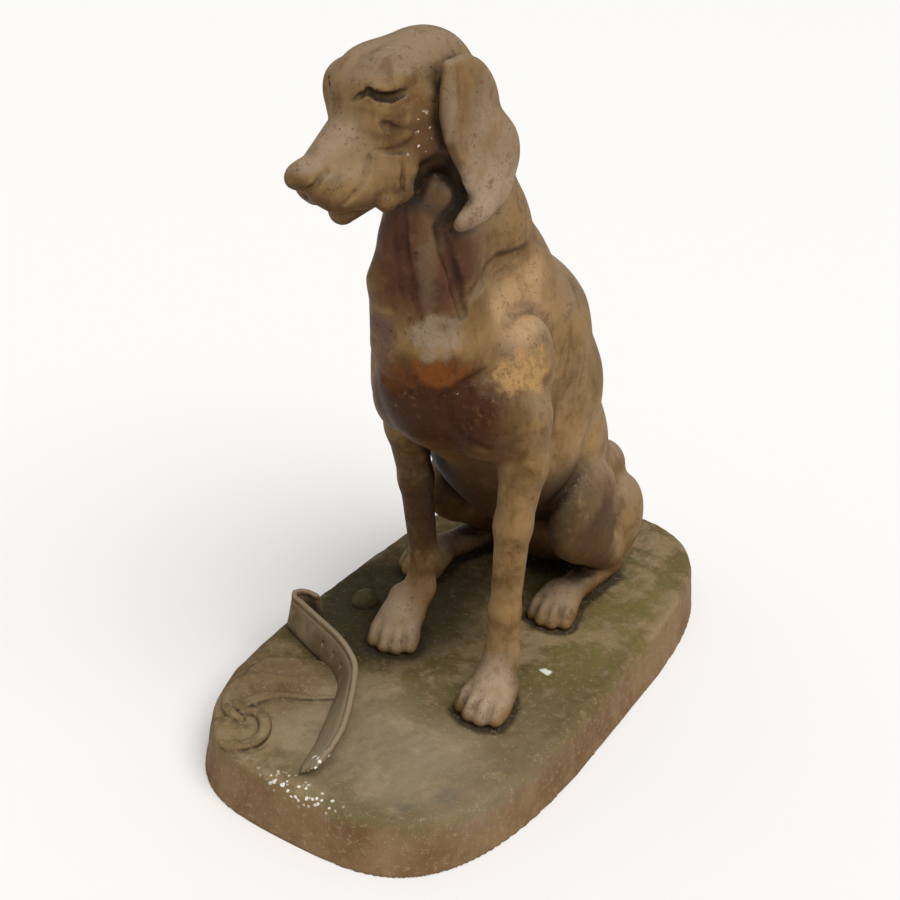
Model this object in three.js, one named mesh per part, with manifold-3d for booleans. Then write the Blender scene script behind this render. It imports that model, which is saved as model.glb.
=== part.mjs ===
// A life-size hound seated on an oval-ended iron plinth, its collar and lead lying before it.
// Millimetres, +Z up, the hound faces -Y and its left side is +X. The origin is the middle of the underside.
import * as THREE from "three";
import { mergeVertices } from "three/addons/utils/BufferGeometryUtils.js";
import Module from "manifold-3d";

// Plinth
const plinthLength = 860;
const plinthWidth = 456;
const plinthHeight = 72;
const plinthBatter = 9; // how far the top stands back from the foot
const plinthEdge = 7; // radius that rounds the top edge
const plinthSquareness = 3.4; // 2 is an ellipse, and higher is squarer

// Hound
const houndHeight = 824; // from the plinth's top to the crown
const castingGap = 0.3; // between two castings that rest on each other

// Collar strap, standing on its lower edge
const strapWidth = 50;
const strapThickness = 7;
const strapHoleRadius = 3;
const strapHolePlaces = [0.465, 0.53, 0.595]; // shares of the way from the loop to the tip
const strapHoleRise = 0.5; // share of the strap's width
const strapStations = 44;
// The lower edge's way over the plinth's top, each with the strap's slope and its width's share
const strapWay = [
  { x: -170, y: -128, slope: 76, share: 1 },
  { x: -190, y: -127, slope: 76, share: 1 },
  { x: -204, y: -136, slope: 80, share: 1 },
  { x: -208, y: -150, slope: 84, share: 1 },
  { x: -201, y: -165, slope: 80, share: 1 },
  { x: -185, y: -174, slope: 76, share: 1 },
  { x: -149, y: -190, slope: 74, share: 1 },
  { x: -122, y: -201, slope: 74, share: 1 },
  { x: -97, y: -213, slope: 73, share: 1 },
  { x: -75, y: -229, slope: 70, share: 1 },
  { x: -60, y: -246, slope: 65, share: 1 },
  { x: -47, y: -276, slope: 57, share: 1 },
  { x: -33, y: -312, slope: 50, share: 1 },
  { x: -20, y: -346, slope: 46, share: 0.98 },
  { x: -12, y: -376, slope: 42, share: 0.85 },
  { x: -6, y: -398, slope: 36, share: 0.5 },
];

// Lead, cast on the plinth's top as a flat band that ends in a curl
const bandRise = 6;
const bandBevel = 3;
const bandSink = 0.7;
const cordRadius = 5.5;

// Pebble, cast on the plinth's top
const pebbleSize = [34, 40, 40];

// Weathered cast iron
const ironColour = 0x6b4a33;
const ironRoughness = 0.72;
const ironMetalness = 0.35;

const wasm = await Module();
wasm.setup();

// Solid distance functions: each takes x, y, z and gives a distance, negative inside.

// The axes of a piece turned by yaw about Z, pitch about X and roll about Y, in degrees.
function axesOf(yaw = 0, pitch = 0, roll = 0) {
  const euler = new THREE.Euler(
    THREE.MathUtils.degToRad(pitch),
    THREE.MathUtils.degToRad(roll),
    THREE.MathUtils.degToRad(yaw),
    "ZXY",
  );
  const e = new THREE.Matrix4().makeRotationFromEuler(euler).elements;
  return [e[0], e[1], e[2], e[4], e[5], e[6], e[8], e[9], e[10]];
}

// An ellipsoid with the half sizes across, along and up its own axes.
function egg([cx, cy, cz], [rx, ry, rz], yaw = 0, pitch = 0, roll = 0) {
  const [ax, ay, az, bx, by, bz, tx, ty, tz] = axesOf(yaw, pitch, roll);
  return (x, y, z) => {
    const px = x - cx;
    const py = y - cy;
    const pz = z - cz;
    const u = (px * ax + py * ay + pz * az) / rx;
    const v = (px * bx + py * by + pz * bz) / ry;
    const w = (px * tx + py * ty + pz * tz) / rz;
    const reach = Math.sqrt(u * u + v * v + w * w);
    const slope = Math.sqrt((u / rx) ** 2 + (v / ry) ** 2 + (w / rz) ** 2);
    return reach < 1e-6 ? -Math.min(rx, ry, rz) : (reach * (reach - 1)) / slope;
  };
}

// A tapered bar from a to b with round ends. Its section is `wide` times wider along `side`.
function bar([ax, ay, az], [bx, by, bz], ra, rb, side = null, wide = 1) {
  const dx = bx - ax;
  const dy = by - ay;
  const dz = bz - az;
  const length2 = dx * dx + dy * dy + dz * dz;
  const [sx, sy, sz] = side ? new THREE.Vector3(...side).normalize().toArray() : [0, 0, 0];
  const squeeze = 1 - 1 / (wide * wide);
  return (x, y, z) => {
    const px = x - ax;
    const py = y - ay;
    const pz = z - az;
    const along = (px * dx + py * dy + pz * dz) / length2;
    const t = along < 0 ? 0 : along > 1 ? 1 : along;
    const qx = px - dx * t;
    const qy = py - dy * t;
    const qz = pz - dz * t;
    const s = qx * sx + qy * sy + qz * sz;
    const off = qx * qx + qy * qy + qz * qz - s * s * squeeze;
    return Math.sqrt(off > 0 ? off : 0) - (ra + (rb - ra) * t);
  };
}

// Two solids joined with a fillet about k wide.
function join2(k, a, b) {
  return (x, y, z) => {
    const p = a(x, y, z);
    const q = b(x, y, z);
    const h = Math.max(k - Math.abs(p - q), 0) / k;
    return Math.min(p, q) - (h * h * k) / 4;
  };
}

const join = (k, ...parts) => parts.reduce((a, b) => join2(k, a, b));

// The solid a with b cut out of it, the cut's edges eased by k.
function carve(k, a, ...cuts) {
  return cuts.reduce((body, cut) => {
    return (x, y, z) => {
      const p = body(x, y, z);
      const q = -cut(x, y, z);
      const h = Math.max(k - Math.abs(p - q), 0) / k;
      return Math.max(p, q) + (h * h * k) / 4;
    };
  }, a);
}

// A limb through several stations of [x, y, z, radius].
function limb(k, stations, side = null, wide = 1) {
  const bars = stations.slice(1).map((b, i) => {
    const a = stations[i];
    return bar(a.slice(0, 3), b.slice(0, 3), a[3], b[3], side, wide);
  });
  return join(k, ...bars);
}

// The same solid, worked out only near its own ball.
function near([cx, cy, cz], reach, solid) {
  return (x, y, z) => {
    const away = Math.sqrt((x - cx) ** 2 + (y - cy) ** 2 + (z - cz) ** 2) - reach;
    return away > 45 ? away : solid(x, y, z);
  };
}

// Both sides at once: the solid sees only |x|.
const mirrored = (solid) => (x, y, z) => solid(Math.sqrt(x * x + 1), y, z);

// A solid modelled in a frame of its own, put in place.
function placed([cx, cy, cz], yaw, pitch, roll, solid) {
  const [ax, ay, az, bx, by, bz, tx, ty, tz] = axesOf(yaw, pitch, roll);
  return (x, y, z) => {
    const px = x - cx;
    const py = y - cy;
    const pz = z - cz;
    return solid(
      px * ax + py * ay + pz * az,
      px * bx + py * by + pz * bz,
      px * tx + py * ty + pz * tz,
    );
  };
}

// The hound, in a frame with the plinth's top at z = 0 and the crown at z = 824.
const carvedHeight = 824;

function head() {
  const skull = join(
    18,
    egg([0, -26, 12], [53, 68, 57]),
    egg([15, -68, 32], [33, 44, 42]),
    egg([0, -90, 38], [26, 28, 22], 0, 14),
    egg([0, 12, -6], [31, 28, 30]),
  );
  const muzzle = join(
    12,
    bar([0, -112, 3], [0, -168, -7], 31, 20, [1, 0, 0], 1.1),
    egg([10, -171, -20], [17, 20, 18]),
    egg([20, -148, -30], [16, 34, 21], -8, 14),
    egg([25, -130, -40], [14, 24, 22], -10, 10),
  );
  const jaw = join(
    12,
    bar([0, -10, -52], [0, -157, -60], 30, 14.5),
    bar([0, -40, -20], [0, -150, -24], 24, 20),
    egg([0, -50, -56], [30, 40, 30]),
  );
  const cheek = join(
    10,
    egg([38, -42, -14], [20, 50, 40], -8),
    bar([40, -74, 10], [52, -10, 14], 12, 13),
    egg([36, -94, 17], [12, 22, 13], -24, 2),
    egg([32, -102, -8], [12, 22, 18], -10),
  );
  const jowl = egg([36, -104, -40], [15, 27, 31], -10);
  const nose = egg([0, -187, 1], [17, 17, 13], 0, 10);
  const brow = egg([34, -83, 54], [11, 26, 9], -32, -6);
  const lip = egg([36, -124, -57], [11, 13, 12]);
  const eyes = limb(3, [
    [31, -100, 53, 4],
    [37, -96, 46, 5],
    [44, -87, 41, 5],
    [50, -71, 40, 4],
  ]);
  const mouth = limb(4, [
    [36, -130, -9, 3],
    [40, -145, -25, 4],
    [33, -168, -36, 3],
  ]);
  const face = join(9, join(12, skull, muzzle, jaw, cheek), jowl, nose, brow);
  return near([0, -70, 0], 175, mirrored(carve(3, join(4, face, lip), eyes, mouth)));
}

// A long folded ear: side is 1 for the left one and -1 for the right one.
function ear(side) {
  const leaf = join(
    14,
    egg([side * 68, -10, 748], [12, 34, 52], 0, 25),
    egg([side * 73, 15, 692], [13, 40, 46]),
    egg([side * 73, 8, 643], [9, 37, 14], 0, 25),
    bar([side * 72, 2, 636], [side * 71, -24, 622], 8, 2.5),
  );
  const front = limb(2, [
    [side * 63, -18, 792, 6],
    [side * 68, -44, 787, 7],
    [side * 75, -43, 712, 7],
    [side * 74, -24, 690, 6],
  ]);
  return near([side * 70, 0, 710], 125, join(5, leaf, front));
}

// The ears hang straight down, so they turn with the head but don't tip with it.
function ears() {
  const left = placed([-8, -165, 0], -18, 0, 0, ear(1));
  const right = placed([6, -166, -14], -18, 0, 0, ear(-1));
  return join(4, left, right);
}

// The hollow between cheek, throat and ear, in the head's frame.
function hollow() {
  return mirrored(limb(8, [
    [44, -84, -56, 9],
    [50, -58, -54, 13],
    [52, -40, -80, 12],
    [50, -44, -112, 7],
  ]));
}

function neck() {
  const throat = limb(20, [
    [0, -150, 480, 64],
    [-2, -165, 590, 50],
    [-6, -186, 660, 40],
  ]);
  const dewlap = limb(10, [
    [-32, -184, 470, 31],
    [-29, -197, 545, 30],
    [-28, -196, 567, 24],
    [-22, -198, 592, 24],
    [-20, -198, 640, 18],
  ]);
  const ridge = limb(8, [
    [12, -207, 640, 12],
    [14, -208, 600, 13],
    [27, -204, 563, 13],
    [36, -189, 520, 12],
  ]);
  return join(14, throat, dewlap, ridge);
}

// Folds of skin and the lines between muscles, cut into the figure.
function creases() {
  return [
    limb(6, [
      [-11, -225, 645, 5],
      [-8, -224, 595, 7],
      [-1, -220, 551, 7],
      [12, -214, 508, 4],
    ]),
    limb(6, [
      [31, -209, 620, 4],
      [38, -205, 595, 6],
      [45, -191, 553, 7],
      [52, -184, 520, 5],
    ]),
    limb(6, [
      [57, -178, 536, 4],
      [53, -140, 552, 6],
      [54, -110, 563, 6],
      [67, -70, 569, 4],
    ]),
    limb(4, [
      [72, -164, 448, 2.5],
      [57, -190, 437, 4],
      [45, -202, 419, 4.5],
    ]),
    limb(4, [
      [45, -202, 419, 4.5],
      [46, -196, 394, 4.5],
      [57, -183, 371, 4],
    ]),
  ];
}

function torso() {
  const trunk = limb(24, [
    [-8, -156, 716, 46],
    [-4, -118, 660, 54],
    [0, -82, 592, 58],
    [0, -34, 520, 67],
    [0, 36, 432, 91],
    [0, 82, 340, 97],
    [0, 150, 230, 86],
    [0, 214, 110, 84],
  ]);
  return join(
    36,
    trunk,
    egg([0, 8, 374], [88, 152, 118], 0, -52),
    egg([0, 88, 222], [84, 104, 94], 0, -30),
    egg([0, -118, 430], [79, 98, 105], 0, -20),
    egg([0, -62, 350], [44, 80, 68], 0, -20),
    egg([0, 24, 272], [99, 74, 78]),
    egg([0, 230, 84], [88, 80, 84]),
  );
}

function foreleg(shoulder, stations, paw, turn) {
  const leg = limb(12, stations);
  const toes = [-1.5, -0.5, 0.5, 1.5].map((i) => {
    return egg([15.5 * i, -30 + Math.abs(i) * 9, 15], [11, 25, 19], i * 4, 14);
  });
  const pad = join(10, egg([0, 4, 24], [30, 34, 27]), bar([0, 18, 50], [0, -6, 30], 20, 22));
  const foot = placed(paw, turn, 0, 0, join(9, pad, ...toes));
  return join(18, shoulder, join(10, leg, foot));
}

function forelegs() {
  const left = foreleg(
    join(
      16,
      egg([78, -90, 420], [36, 58, 76], 0, -6),
      egg([62, -124, 388], [48, 58, 62]),
      bar([76, -108, 390], [92, -70, 332], 38, 24),
    ),
    [
      [94, -110, 380, 38],
      [101, -104, 318, 28],
      [99, -114, 240, 22],
      [100, -118, 120, 18.5],
      [104, -124, 62, 20],
      [104, -140, 34, 22],
    ],
    [110, -153, 0],
    0,
  );
  const right = foreleg(
    join(
      16,
      egg([-78, -90, 420], [36, 58, 76], 0, -6),
      egg([-48, -124, 388], [42, 56, 58]),
      bar([-68, -104, 390], [-80, -62, 324], 35, 22),
    ),
    [
      [-78, -98, 370, 34],
      [-79, -82, 310, 26],
      [-71, -66, 230, 21.5],
      [-61, -52, 110, 18.5],
      [-61, -58, 62, 19],
      [-64, -76, 34, 21],
    ],
    [-70, -94, 0],
    18,
  );
  return join(6, left, right);
}

function hindleg(side, paw, turn) {
  const thigh = join(
    14,
    join(
      22,
      egg([side * 96, 100, 165], [34, 78, 70], 0, 6),
      bar([side * 99, 110, 120], [side * 90, 212, 34], 38, 24),
    ),
    egg([side * 90, 234, 90], [38, 55, 69], 0, -6),
    egg([side * 56, 236, 164], [36, 42, 40]),
  );
  const foot = bar([side * 90, 215, 22], [paw[0], paw[1] + 20, 22], 22, 21);
  const toes = [-1.5, -0.5, 0.5, 1.5].map((i) => {
    return egg([15 * i, -26 + Math.abs(i) * 8, 14], [10.5, 22, 18], i * 4, 14);
  });
  const front = placed(paw, turn, 0, 0, join(9, egg([0, 6, 23], [29, 32, 26]), ...toes));
  return join(12, thigh, foot, front);
}

const figure = join(
  14,
  join(22, torso(), neck()),
  forelegs(),
  hindleg(1, [82, 80, 0], 4),
  hindleg(-1, [-128, 76, 0], -12),
);
const headSeat = [-8, -165, 756];
const inHead = (solid) => placed(headSeat, -18, 24, 0, solid);
const headed = carve(9, join(14, figure, inHead(head())), near([20, -190, 700], 120, inHead(hollow())));
const creased = carve(8, headed, ...creases().map((crease) => near([25, -165, 510], 190, crease)));
const throatBall = egg([20, -206, 653], [22, 22, 23]);
const hound = join(5, join(5, creased, throatBall), ears());

// Samples inside that meet only across an edge or a corner are bridged, so that the surface is never pinched.
function bridge(value, nx, ny, nz, cell) {
  const [u, v, w] = [1, nx, nx * ny];
  const inside = -cell / 50;
  const planes = [[u, v], [u, w], [v, w]];
  const diagonals = [[0, u + v + w], [u, v + w], [v, u + w], [w, u + v]];
  const cube = diagonals.flat();
  let changed = true;
  while (changed) {
    changed = false;
    for (let k = 0; k < nz - 1; k++)
      for (let j = 0; j < ny - 1; j++)
        for (let i = 0; i < nx - 1; i++) {
          const here = i + j * v + k * w;
          const count = cube.reduce((sum, c) => sum + (value[here + c] < 0 ? 1 : 0), 0);
          if (count < 2 || count > 6) continue;
          for (const [p, q] of planes)
            for (const near of [0, u + v + w - p - q]) {
              const [a, b, c, d] = [near, near + p, near + q, near + p + q].map((at) => here + at);
              if (value[a] < 0 !== value[d] < 0 || value[b] < 0 !== value[c] < 0) continue;
              if (value[a] < 0 === value[b] < 0) continue;
              value[value[a] < 0 ? b : a] = inside;
              changed = true;
            }
          for (const [p, q] of diagonals) {
            const pair = (value[here + p] < 0 ? 1 : 0) + (value[here + q] < 0 ? 1 : 0);
            const all = cube.reduce((sum, c) => sum + (value[here + c] < 0 ? 1 : 0), 0);
            if (pair === 2 && all === 2) value[here + cube.find((c) => c !== p && c !== q)] = inside;
            else if (pair === 0 && all === 6) value[here + p] = inside;
            else continue;
            changed = true;
          }
        }
  }
}

// The surface of a distance function, as triangles on a grid of cells, worked out only near the surface.
function surfaceOf(field, low, high, cell) {
  const [nx, ny, nz] = low.map((v, i) => Math.ceil((high[i] - v) / cell) + 1);
  const at = (i, j, k) => (k * ny + j) * nx + i;
  const value = new Float32Array(nx * ny * nz);
  const block = 8;
  const halfBlock = (block * cell) / 2;
  for (let k = 0; k < nz; k += block)
    for (let j = 0; j < ny; j += block)
      for (let i = 0; i < nx; i += block) {
        const middle = [i, j, k].map((v, a) => low[a] + v * cell + halfBlock);
        const d = field(...middle);
        const far = Math.abs(d) > halfBlock * 2.6;
        for (let c = k; c < Math.min(k + block, nz); c++)
          for (let b = j; b < Math.min(j + block, ny); b++)
            for (let a = i; a < Math.min(i + block, nx); a++)
              value[at(a, b, c)] = far
                ? d
                : field(low[0] + a * cell, low[1] + b * cell, low[2] + c * cell);
      }
  bridge(value, nx, ny, nz, cell);
  const points = [];
  const cellPoint = new Int32Array(nx * ny * nz).fill(-1);
  const corners = [];
  for (let c = 0; c < 2; c++) for (let b = 0; b < 2; b++) for (let a = 0; a < 2; a++) corners.push([a, b, c]);
  const edges = [];
  corners.forEach((p, i) =>
    corners.forEach((q, j) => {
      if (j > i && p.reduce((sum, v, a) => sum + Math.abs(v - q[a]), 0) === 1) edges.push([i, j]);
    }),
  );
  const offset = corners.map(([a, b, c]) => at(a, b, c));
  for (let k = 0; k < nz - 1; k++)
    for (let j = 0; j < ny - 1; j++)
      for (let i = 0; i < nx - 1; i++) {
        const base = at(i, j, k);
        let inside = 0;
        for (let c = 0; c < 8; c++) if (value[base + offset[c]] < 0) inside++;
        if (inside === 0 || inside === 8) continue;
        const sum = [0, 0, 0];
        let crossings = 0;
        for (const [p, q] of edges) {
          const vp = value[base + offset[p]];
          const vq = value[base + offset[q]];
          if (vp < 0 === vq < 0) continue;
          const t = vp / (vp - vq);
          for (let a = 0; a < 3; a++) sum[a] += corners[p][a] + t * (corners[q][a] - corners[p][a]);
          crossings++;
        }
        cellPoint[base] = points.length / 3;
        [i, j, k].forEach((v, a) => points.push(low[a] + (v + sum[a] / crossings) * cell));
      }
  const faces = [];
  const distance2 = (p, q) =>
    (points[3 * p] - points[3 * q]) ** 2 +
    (points[3 * p + 1] - points[3 * q + 1]) ** 2 +
    (points[3 * p + 2] - points[3 * q + 2]) ** 2;
  const step = [1, nx, nx * ny];
  for (let k = 1; k < nz - 1; k++)
    for (let j = 1; j < ny - 1; j++)
      for (let i = 1; i < nx - 1; i++) {
        const here = at(i, j, k);
        for (let a = 0; a < 3; a++) {
          const first = value[here] < 0;
          if (first === value[here + step[a]] < 0) continue;
          const u = step[(a + 1) % 3];
          const v = step[(a + 2) % 3];
          const ring = [here - u - v, here - v, here, here - u].map((c) => cellPoint[c]);
          if (!first) ring.reverse();
          const [p, q, r, s] = ring;
          if (distance2(p, r) < distance2(q, s)) faces.push(p, q, r, p, r, s);
          else faces.push(p, q, s, q, r, s);
        }
      }
  return { points: Float64Array.from(points), faces: Int32Array.from(faces) };
}

// The largest closed skin alone, without any pocket inside it.
function outerSkin({ points, faces }) {
  const leader = Int32Array.from({ length: points.length / 3 }, (v, i) => i);
  const find = (v) => {
    while (leader[v] !== v) {
      leader[v] = leader[leader[v]];
      v = leader[v];
    }
    return v;
  };
  for (let f = 0; f < faces.length; f += 3) {
    leader[find(faces[f + 1])] = find(faces[f]);
    leader[find(faces[f + 2])] = find(faces[f]);
  }
  const size = new Map();
  for (let f = 0; f < faces.length; f += 3) size.set(find(faces[f]), (size.get(find(faces[f])) ?? 0) + 1);
  const largest = [...size.entries()].reduce((a, b) => (b[1] > a[1] ? b : a))[0];
  return { points, faces: faces.filter((v) => find(v) === largest) };
}

// Fewer triangles for the same form. The edges merged first are the cheapest by squared distance to
// the planes around them.
function simplify({ points, faces }, target) {
  const count = points.length / 3;
  const quadric = new Float64Array(count * 10);
  const around = Array.from({ length: count }, () => []);
  const alive = new Uint8Array(faces.length / 3).fill(1);
  const version = new Int32Array(count);
  const planeOf = (a, b, c) => {
    const [ux, uy, uz] = [0, 1, 2].map((i) => points[3 * b + i] - points[3 * a + i]);
    const [vx, vy, vz] = [0, 1, 2].map((i) => points[3 * c + i] - points[3 * a + i]);
    return [uy * vz - uz * vy, uz * vx - ux * vz, ux * vy - uy * vx];
  };
  for (let f = 0; f < alive.length; f++) {
    const [a, b, c] = faces.subarray(3 * f, 3 * f + 3);
    const n = planeOf(a, b, c);
    const size = Math.hypot(...n) || 1;
    const [x, y, z] = n.map((v) => v / size);
    const d = -(x * points[3 * a] + y * points[3 * a + 1] + z * points[3 * a + 2]);
    const terms = [x * x, x * y, x * z, x * d, y * y, y * z, y * d, z * z, z * d, d * d];
    for (const v of [a, b, c]) {
      terms.forEach((t, i) => (quadric[10 * v + i] += t * size));
      around[v].push(f);
    }
  }
  // The best place for two merged points, and its cost.
  function merge(a, b) {
    const q = new Float64Array(10);
    for (let i = 0; i < 10; i++) q[i] = quadric[10 * a + i] + quadric[10 * b + i];
    const cost = (x, y, z) =>
      q[0] * x * x + 2 * q[1] * x * y + 2 * q[2] * x * z + 2 * q[3] * x + q[4] * y * y +
      2 * q[5] * y * z + 2 * q[6] * y + q[7] * z * z + 2 * q[8] * z + q[9];
    const minor = (i, j, k, l) => q[i] * q[j] - q[k] * q[l];
    const det = q[0] * minor(4, 7, 5, 5) - q[1] * minor(1, 7, 5, 2) + q[2] * minor(1, 5, 4, 2);
    const pa = [points[3 * a], points[3 * a + 1], points[3 * a + 2]];
    const pb = [points[3 * b], points[3 * b + 1], points[3 * b + 2]];
    const middle = pa.map((v, i) => (v + pb[i]) / 2);
    const length2 = pa.reduce((sum, v, i) => sum + (v - pb[i]) ** 2, 0);
    let best = middle;
    if (Math.abs(det) > 1e-7 * (q[0] + q[4] + q[7]) ** 3) {
      const place = [
        -q[3] * minor(4, 7, 5, 5) + q[1] * minor(6, 7, 8, 5) - q[2] * minor(6, 5, 8, 4),
        -q[0] * minor(6, 7, 8, 5) + q[3] * minor(1, 7, 5, 2) - q[2] * minor(1, 8, 2, 6),
        -q[0] * minor(4, 8, 5, 6) + q[1] * minor(1, 8, 2, 6) - q[3] * minor(1, 5, 4, 2),
      ].map((v) => v / det);
      if (place.reduce((sum, v, i) => sum + (v - middle[i]) ** 2, 0) < 4 * length2) best = place;
    }
    return { place: best, cost: Math.max(cost(...best), 0) + 1e-3 * length2 };
  }
  const heap = [];
  const swap = (i, j) => ([heap[i], heap[j]] = [heap[j], heap[i]]);
  function push(item) {
    heap.push(item);
    let i = heap.length - 1;
    while (i > 0 && heap[(i - 1) >> 1].cost > heap[i].cost) {
      swap(i, (i - 1) >> 1);
      i = (i - 1) >> 1;
    }
  }
  function pop() {
    const top = heap[0];
    const last = heap.pop();
    if (heap.length) {
      heap[0] = last;
      for (let i = 0; ; ) {
        const l = 2 * i + 1;
        const r = l + 1;
        let least = i;
        if (l < heap.length && heap[l].cost < heap[least].cost) least = l;
        if (r < heap.length && heap[r].cost < heap[least].cost) least = r;
        if (least === i) break;
        swap(i, least);
        i = least;
      }
    }
    return top;
  }
  const offer = (a, b) => push({ a, b, at: version[a] + version[b], ...merge(a, b) });
  const neighbours = (v) => {
    const found = new Set();
    for (const f of around[v]) for (let i = 0; i < 3; i++) found.add(faces[3 * f + i]);
    found.delete(v);
    return found;
  };
  for (let v = 0; v < count; v++) for (const w of neighbours(v)) if (w > v) offer(v, w);
  let left = alive.length;
  while (left > target && heap.length) {
    const { a, b, at: stamp, place } = pop();
    if (version[a] < 0 || version[b] < 0 || version[a] + version[b] !== stamp) continue;
    const ringA = neighbours(a);
    if (!ringA.has(b)) continue;
    const ringB = neighbours(b);
    if ([...ringA].filter((v) => ringB.has(v)).length !== 2) continue;
    let folds = false;
    for (const f of [...around[a], ...around[b]]) {
      const corner = [...faces.subarray(3 * f, 3 * f + 3)];
      if (corner.includes(a) && corner.includes(b)) continue;
      const before = planeOf(...corner);
      const moved = corner.includes(a) ? a : b;
      const kept = points.slice(3 * moved, 3 * moved + 3);
      points.set(place, 3 * moved);
      const after = planeOf(...corner);
      points.set(kept, 3 * moved);
      const dot = before.reduce((sum, v, i) => sum + v * after[i], 0);
      if (dot < 0.35 * Math.hypot(...before) * Math.hypot(...after) || Math.hypot(...after) < 1) {
        folds = true;
        break;
      }
    }
    if (folds) continue;
    points.set(place, 3 * a);
    for (let i = 0; i < 10; i++) quadric[10 * a + i] += quadric[10 * b + i];
    for (const f of around[b]) {
      const corner = faces.subarray(3 * f, 3 * f + 3);
      if (corner.includes(a)) {
        alive[f] = 0;
        left--;
      } else {
        corner[corner.indexOf(b)] = a;
        around[a].push(f);
      }
    }
    around[b] = [];
    version[a]++;
    version[b] = -1;
    around[a] = around[a].filter((f) => alive[f]);
    for (const v of neighbours(a)) {
      around[v] = around[v].filter((f) => alive[f]);
      offer(Math.min(a, v), Math.max(a, v));
    }
  }
  return { points, faces: faces.filter((v, i) => alive[Math.floor(i / 3)]) };
}

// Between a mesh and a solid that can be cut and joined.
function solidOf({ points, faces }, scale = 1, lift = 0) {
  const used = [...new Set(faces)].sort((a, b) => a - b);
  const place = new Map(used.map((point, i) => [point, i]));
  const corners = used.flatMap((i) => [
    points[3 * i] * scale,
    points[3 * i + 1] * scale,
    points[3 * i + 2] * scale + lift,
  ]);
  return new wasm.Manifold(
    new wasm.Mesh({
      numProp: 3,
      vertProperties: Float32Array.from(corners),
      triVerts: Uint32Array.from(faces, (point) => place.get(point)),
    }),
  );
}

function solidFrom(geometry) {
  const bare = geometry.clone();
  for (const name of ["normal", "uv"]) bare.deleteAttribute(name);
  const merged = mergeVertices(bare, 1e-3);
  return new wasm.Manifold(
    new wasm.Mesh({
      numProp: 3,
      vertProperties: Float32Array.from(merged.attributes.position.array),
      triVerts: Uint32Array.from(merged.index.array),
    }),
  );
}

function meshOf(name, solid) {
  const { vertProperties, triVerts } = solid.getMesh();
  const geometry = new THREE.BufferGeometry();
  geometry.setAttribute("position", new THREE.BufferAttribute(vertProperties, 3));
  geometry.setIndex(new THREE.BufferAttribute(triVerts, 1));
  geometry.computeVertexNormals();
  const material = new THREE.MeshStandardMaterial({
    color: ironColour,
    roughness: ironRoughness,
    metalness: ironMetalness,
  });
  const mesh = new THREE.Mesh(geometry, material);
  mesh.name = name;
  return mesh;
}

// The plinth's plan at a height, its half sizes drawn in by `inset`.
function planRing(inset, z, segments) {
  const ring = [];
  for (let i = 0; i < segments; i++) {
    const angle = (2 * Math.PI * i) / segments;
    const c = Math.cos(angle);
    const s = Math.sin(angle);
    ring.push(
      new THREE.Vector3(
        (plinthWidth / 2 - inset) * Math.sign(c) * Math.abs(c) ** (2 / plinthSquareness),
        (plinthLength / 2 - inset) * Math.sign(s) * Math.abs(s) ** (2 / plinthSquareness),
        z,
      ),
    );
  }
  return ring;
}

// A closed skin over rings of equal count, with a flat cap at each end.
function skin(rings) {
  const n = rings[0].length;
  const position = rings.flat().flatMap((p) => [p.x, p.y, p.z]);
  const index = [];
  for (let r = 0; r + 1 < rings.length; r++)
    for (let i = 0; i < n; i++) {
      const a = r * n + i;
      const b = r * n + ((i + 1) % n);
      index.push(a, b, b + n, a, b + n, a + n);
    }
  const last = (rings.length - 1) * n;
  for (let i = 1; i + 1 < n; i++) {
    index.push(0, i + 1, i);
    index.push(last, last + i, last + i + 1);
  }
  const geometry = new THREE.BufferGeometry();
  geometry.setAttribute("position", new THREE.Float32BufferAttribute(position, 3));
  geometry.setIndex(index);
  return geometry;
}

function plinthSolid() {
  const segments = 72;
  const rings = [planRing(0, 0, segments)];
  const arcSteps = 3;
  for (let i = 0; i <= arcSteps; i++) {
    const turn = (Math.PI / 2) * (i / arcSteps);
    rings.push(
      planRing(
        plinthBatter + plinthEdge * (1 - Math.cos(turn)),
        plinthHeight - plinthEdge * (1 - Math.sin(turn)),
        segments,
      ),
    );
  }
  return solidFrom(skin(rings));
}

// A round cord along a way over the plinth's top, thin at both ends.
function cordSolid(way, radius) {
  const curve = new THREE.CatmullRomCurve3(way.map(([x, y]) => new THREE.Vector3(x, y, plinthHeight)));
  const steps = 18;
  const sides = 8;
  const up = new THREE.Vector3(0, 0, 1);
  const rings = [];
  for (let i = 0; i <= steps; i++) {
    const t = i / steps;
    const middle = curve.getPointAt(t);
    const across = new THREE.Vector3().crossVectors(up, curve.getTangentAt(t)).normalize();
    const r = radius * (0.35 + 0.65 * Math.sqrt(Math.sin(Math.PI * t)));
    rings.push(
      Array.from({ length: sides }, (v, j) => {
        const turn = (2 * Math.PI * j) / sides;
        return middle
          .clone()
          .addScaledVector(across, r * Math.cos(turn))
          .addScaledVector(up, r * Math.sin(turn) + radius * 0.45);
      }),
    );
  }
  return solidFrom(skin(rings));
}

function bandSolid() {
  const outline = [
    [-92, -206], [-127, -208], [-155, -226], [-180, -243], [-182, -272], [-176, -305], [-164, -330],
    [-148, -346], [-134, -350], [-130, -332], [-124, -315], [-112, -298], [-91, -287], [-70, -273],
    [-50, -256], [-62, -232],
  ];
  const shape = new THREE.Shape(outline.map(([x, y]) => new THREE.Vector2(x, y)));
  const plate = new THREE.ExtrudeGeometry(shape, {
    depth: bandRise,
    bevelThickness: bandBevel,
    bevelSize: bandBevel,
    bevelOffset: -bandBevel,
    bevelSegments: 1,
    curveSegments: 1,
  });
  return solidFrom(plate.translate(0, 0, plinthHeight - bandBevel - bandSink));
}

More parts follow.
